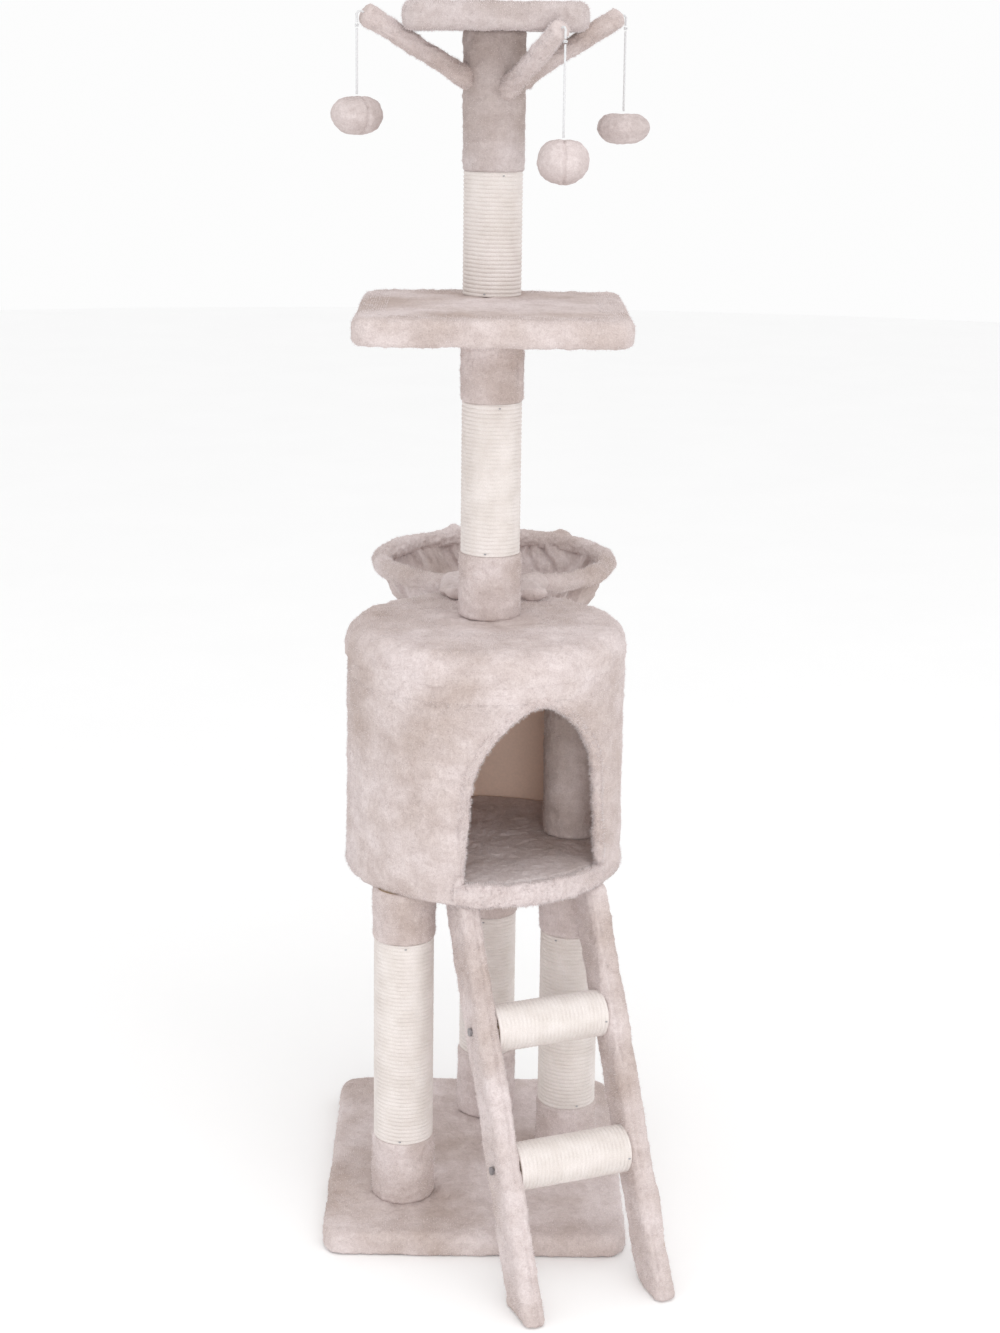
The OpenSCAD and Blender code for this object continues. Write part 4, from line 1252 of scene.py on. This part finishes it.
class BuildLadder(bpy.types.Operator):
    """Plush over the two rails, with the dimples of the rung screws"""
    bl_idname = "cat_tree.ladder"
    bl_label = "Ladder"

    def execute(self, context):
        start, end, _ = rung_axis("upper")
        length = np.linalg.norm(end - start)
        for side, node in ((-1, "left_rail_cover"), (1, "right_rail_cover")):
            self.rail(side, node, length)
        return {"FINISHED"}

    def rail(self, side, node, rung_length):
        """Board on edge in plush: a round-cornered section run down the slope.

        Each point of the section starts where its line leaves the level top and ends where it
        meets the floor, so both ends are cut level. The section shrinks in a quarter ellipse
        over the last few millimetres, and shrinks to its middle to close each end. A bell
        curve round each rung's screw makes a dimple, and a seam runs down the front.
        """
        corner, rounding, end_share, seam_off = 0.0085, 0.006, 0.70, 0.0035
        turn, slope, middle = ladder_frame()
        across, forward = level(turn), level(turn - np.pi / 2)
        down = np.sin(slope) * forward - np.cos(slope) * UP
        through = np.cos(slope) * forward + np.sin(slope) * UP
        thick, wide = self.section(node, turn, slope)
        top = middle[2]
        run = top / np.cos(slope)
        outline = rounded_outline(thick, wide, corner, 84)
        share = even(0, 1, ROW_STEP / run)
        bare = 1 - np.clip(np.minimum(share, 1 - share) * run / rounding, 0, 1)
        shrink = 1 - (1 - end_share) * (1 - np.sqrt(1 - bare ** 2))
        cap = np.linspace(0, end_share, 7)[:-1]
        share = np.concatenate([0 * cap, share, 0 * cap + 1])[:, None]
        scale = np.concatenate([cap, shrink, cap[::-1]])[:, None]
        x = outline[:, 0] * scale
        y = outline[:, 1] * (1 - (1 - scale) * np.where(scale > end_share, thick / wide, 1))
        gone_down = y * np.tan(slope) + share * run
        foot = middle + side * (rung_length + thick) / 2 * across
        points = (foot + x[..., None] * across + y[..., None] * through
                  + gone_down[..., None] * down)
        normals = outward_tube(points)
        rise = 0
        for rung in ("lower", "upper"):
            screw_z = np.mean(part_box(f"{rung}_rung_sisal"), 0)[2]
            screw = foot + down * (top - screw_z) / np.cos(slope) + side * thick / 2 * across
            rise = rise - 0.0008 * bell(np.linalg.norm(points - screw, axis=-1), 0.0090)
        facing = np.clip(np.sum(normals * through, -1), 0, 1)
        gap = x + side * seam_off + 0.0014 * noise(points * UP, 0.05, 61)
        rise = rise + facing * sewn(np.abs(gap), 0.0014, 0.0012, 0.0007, 0.0035, 0.002)
        points = pile(points + normals * rise[..., None], normals, 0.0012, 600 + 20 * side)
        points[..., 2] = np.clip(points[..., 2], GROUND + 0.0001, top + 0.0012)
        tufts(node.replace("_cover", "_fibres"), points[8:-8], 7000, 0.0028, 640 + 20 * side)
        plush_piece(node.replace("_cover", "_plush"), points, node)

    def section(self, node, turn, slope):
        """Thickness and width of a rail, from its box: two unknowns in two level extents.

        The box of a rounded section is smaller than a sharp one's, so both get a little back.
        """
        low, high = box_of(node)
        size = high - low
        run = size[2] * np.tan(slope)
        shares = np.array([[np.cos(turn), np.sin(turn) / np.cos(slope)],
                           [np.sin(turn), np.cos(turn) / np.cos(slope)]])
        extents = size[:2] - run * np.array([np.sin(turn), np.cos(turn)])
        rounding = RAIL_CORNER * (np.cos(turn) + np.sin(turn) - 1)
        return np.linalg.solve(shares, extents) + rounding


# ---------------------------------------------------------------- small metal

NODE_FINISHES = {  # finish of each frame slot that isn't plush
    "steel": "steel", "board": "board", "string": "thread", "cardboard_tube": "card"}
OVAL = 0.6                # a nail head's height and depth, as shares of its half width


class FitHardware(bpy.types.Operator):
    """Finishes of the screws, bolts and hidden boards, and the nails that hold the rope's ends"""
    bl_idname = "cat_tree.hardware"
    bl_label = "Hardware"

    def execute(self, context):
        for name, thing in frame["nodes"].items():
            if thing.hide_render:
                continue
            kind = next(s["material_slot"] for s in frame["record"]["subparts"]
                        if s["node"] == name)
            finish = finish_of(NODE_FINISHES.get(kind, "plush"))
            for slot in thing.material_slots:
                slot.material = finish
            if not thing.material_slots:
                thing.data.materials.append(finish)
        self.nails()
        return {"FINISHED"}

    def nails(self):
        """Nail heads at the ends of each rope, and, last, the bolt head inside the right rail.

        Each is a small dome: a quarter ellipse turned round.
        """
        sunk, nail, bolt, segments = 0.0003, 0.0015, 0.0042, 12
        spots = []
        for post, turns in (("left", (-85, -95)), ("rear", (-100, -80)), ("right", (-120, -70)),
                            ("middle", (-75, -100)), ("top", (-70, -105))):
            low, high = box_of(f"{post}_post_sisal")
            centre, outer = (low + high) / 2, (high[0] - low[0]) / 2
            for z, at in ((high[2] - 0.004, turns[0]), (low[2] + 0.003, turns[1])):
                out = level(radians(at))
                spots.append((centre * [1, 1, 0] + (outer - sunk) * out + z * UP, out, nail))
        turn, _, middle = ladder_frame()
        across, forward = level(turn), level(turn - np.pi / 2)
        for rung in ("lower", "upper"):
            start, end, outer = rung_axis(rung)
            spots.append((end - 0.003 * across + (outer - sunk) * forward, forward, nail))
        inner_face = middle + np.linalg.norm(end - start) / 2 * across
        spots.append((inner_face - 0.010 * UP - 0.012 * forward, -across, bolt))
        rise = np.linspace(0, np.pi / 2, 5)[:, None, None]
        for i, (spot, out, size) in enumerate(spots):
            ring = ring_round(full_turn(segments), np.cross(out, UP), UP, 1, OVAL)
            dome = size * (np.cos(rise) * ring + OVAL * np.sin(rise) * out)
            head = grid_object(f"nail_{i + 1}", spot + dome, finish_of("steel"))
            settle(head, TREE, "steel")


# ---------------------------------------------------------------- main

PIECES = (SetStage, HangToys, CoverBase, CoverBoards, SleevePosts, WindRope, BuildHouse,
          BuildBasket, CoverArms, BuildLadder, FitHardware)


class CatTreePanel(bpy.types.Panel):
    """Sidebar list of the stage and the pieces, one button each"""
    bl_idname = "VIEW3D_PT_cat_tree"
    bl_label = "Cat tree"
    bl_space_type = "VIEW_3D"
    bl_region_type = "UI"
    bl_category = "Cat tree"

    def draw(self, context):
        for piece in PIECES:
            self.layout.operator(piece.bl_idname)


def register():
    for kind in (CatTreeColours, CatTreeSizes, *PIECES, CatTreePanel):
        bpy.utils.register_class(kind)
    bpy.types.Scene.cat_tree_colours = bpy.props.PointerProperty(type=CatTreeColours)
    bpy.types.Scene.cat_tree_sizes = bpy.props.PointerProperty(type=CatTreeSizes)


def unregister():
    del bpy.types.Scene.cat_tree_sizes
    del bpy.types.Scene.cat_tree_colours
    for kind in reversed((CatTreeColours, CatTreeSizes, *PIECES, CatTreePanel)):
        bpy.utils.unregister_class(kind)


def main():
    """Builds every piece in order."""
    register()
    for piece in PIECES:
        name = piece.bl_idname.split(".")[1]
        getattr(bpy.ops.cat_tree, name)()


if __name__ == "__main__":
    main()
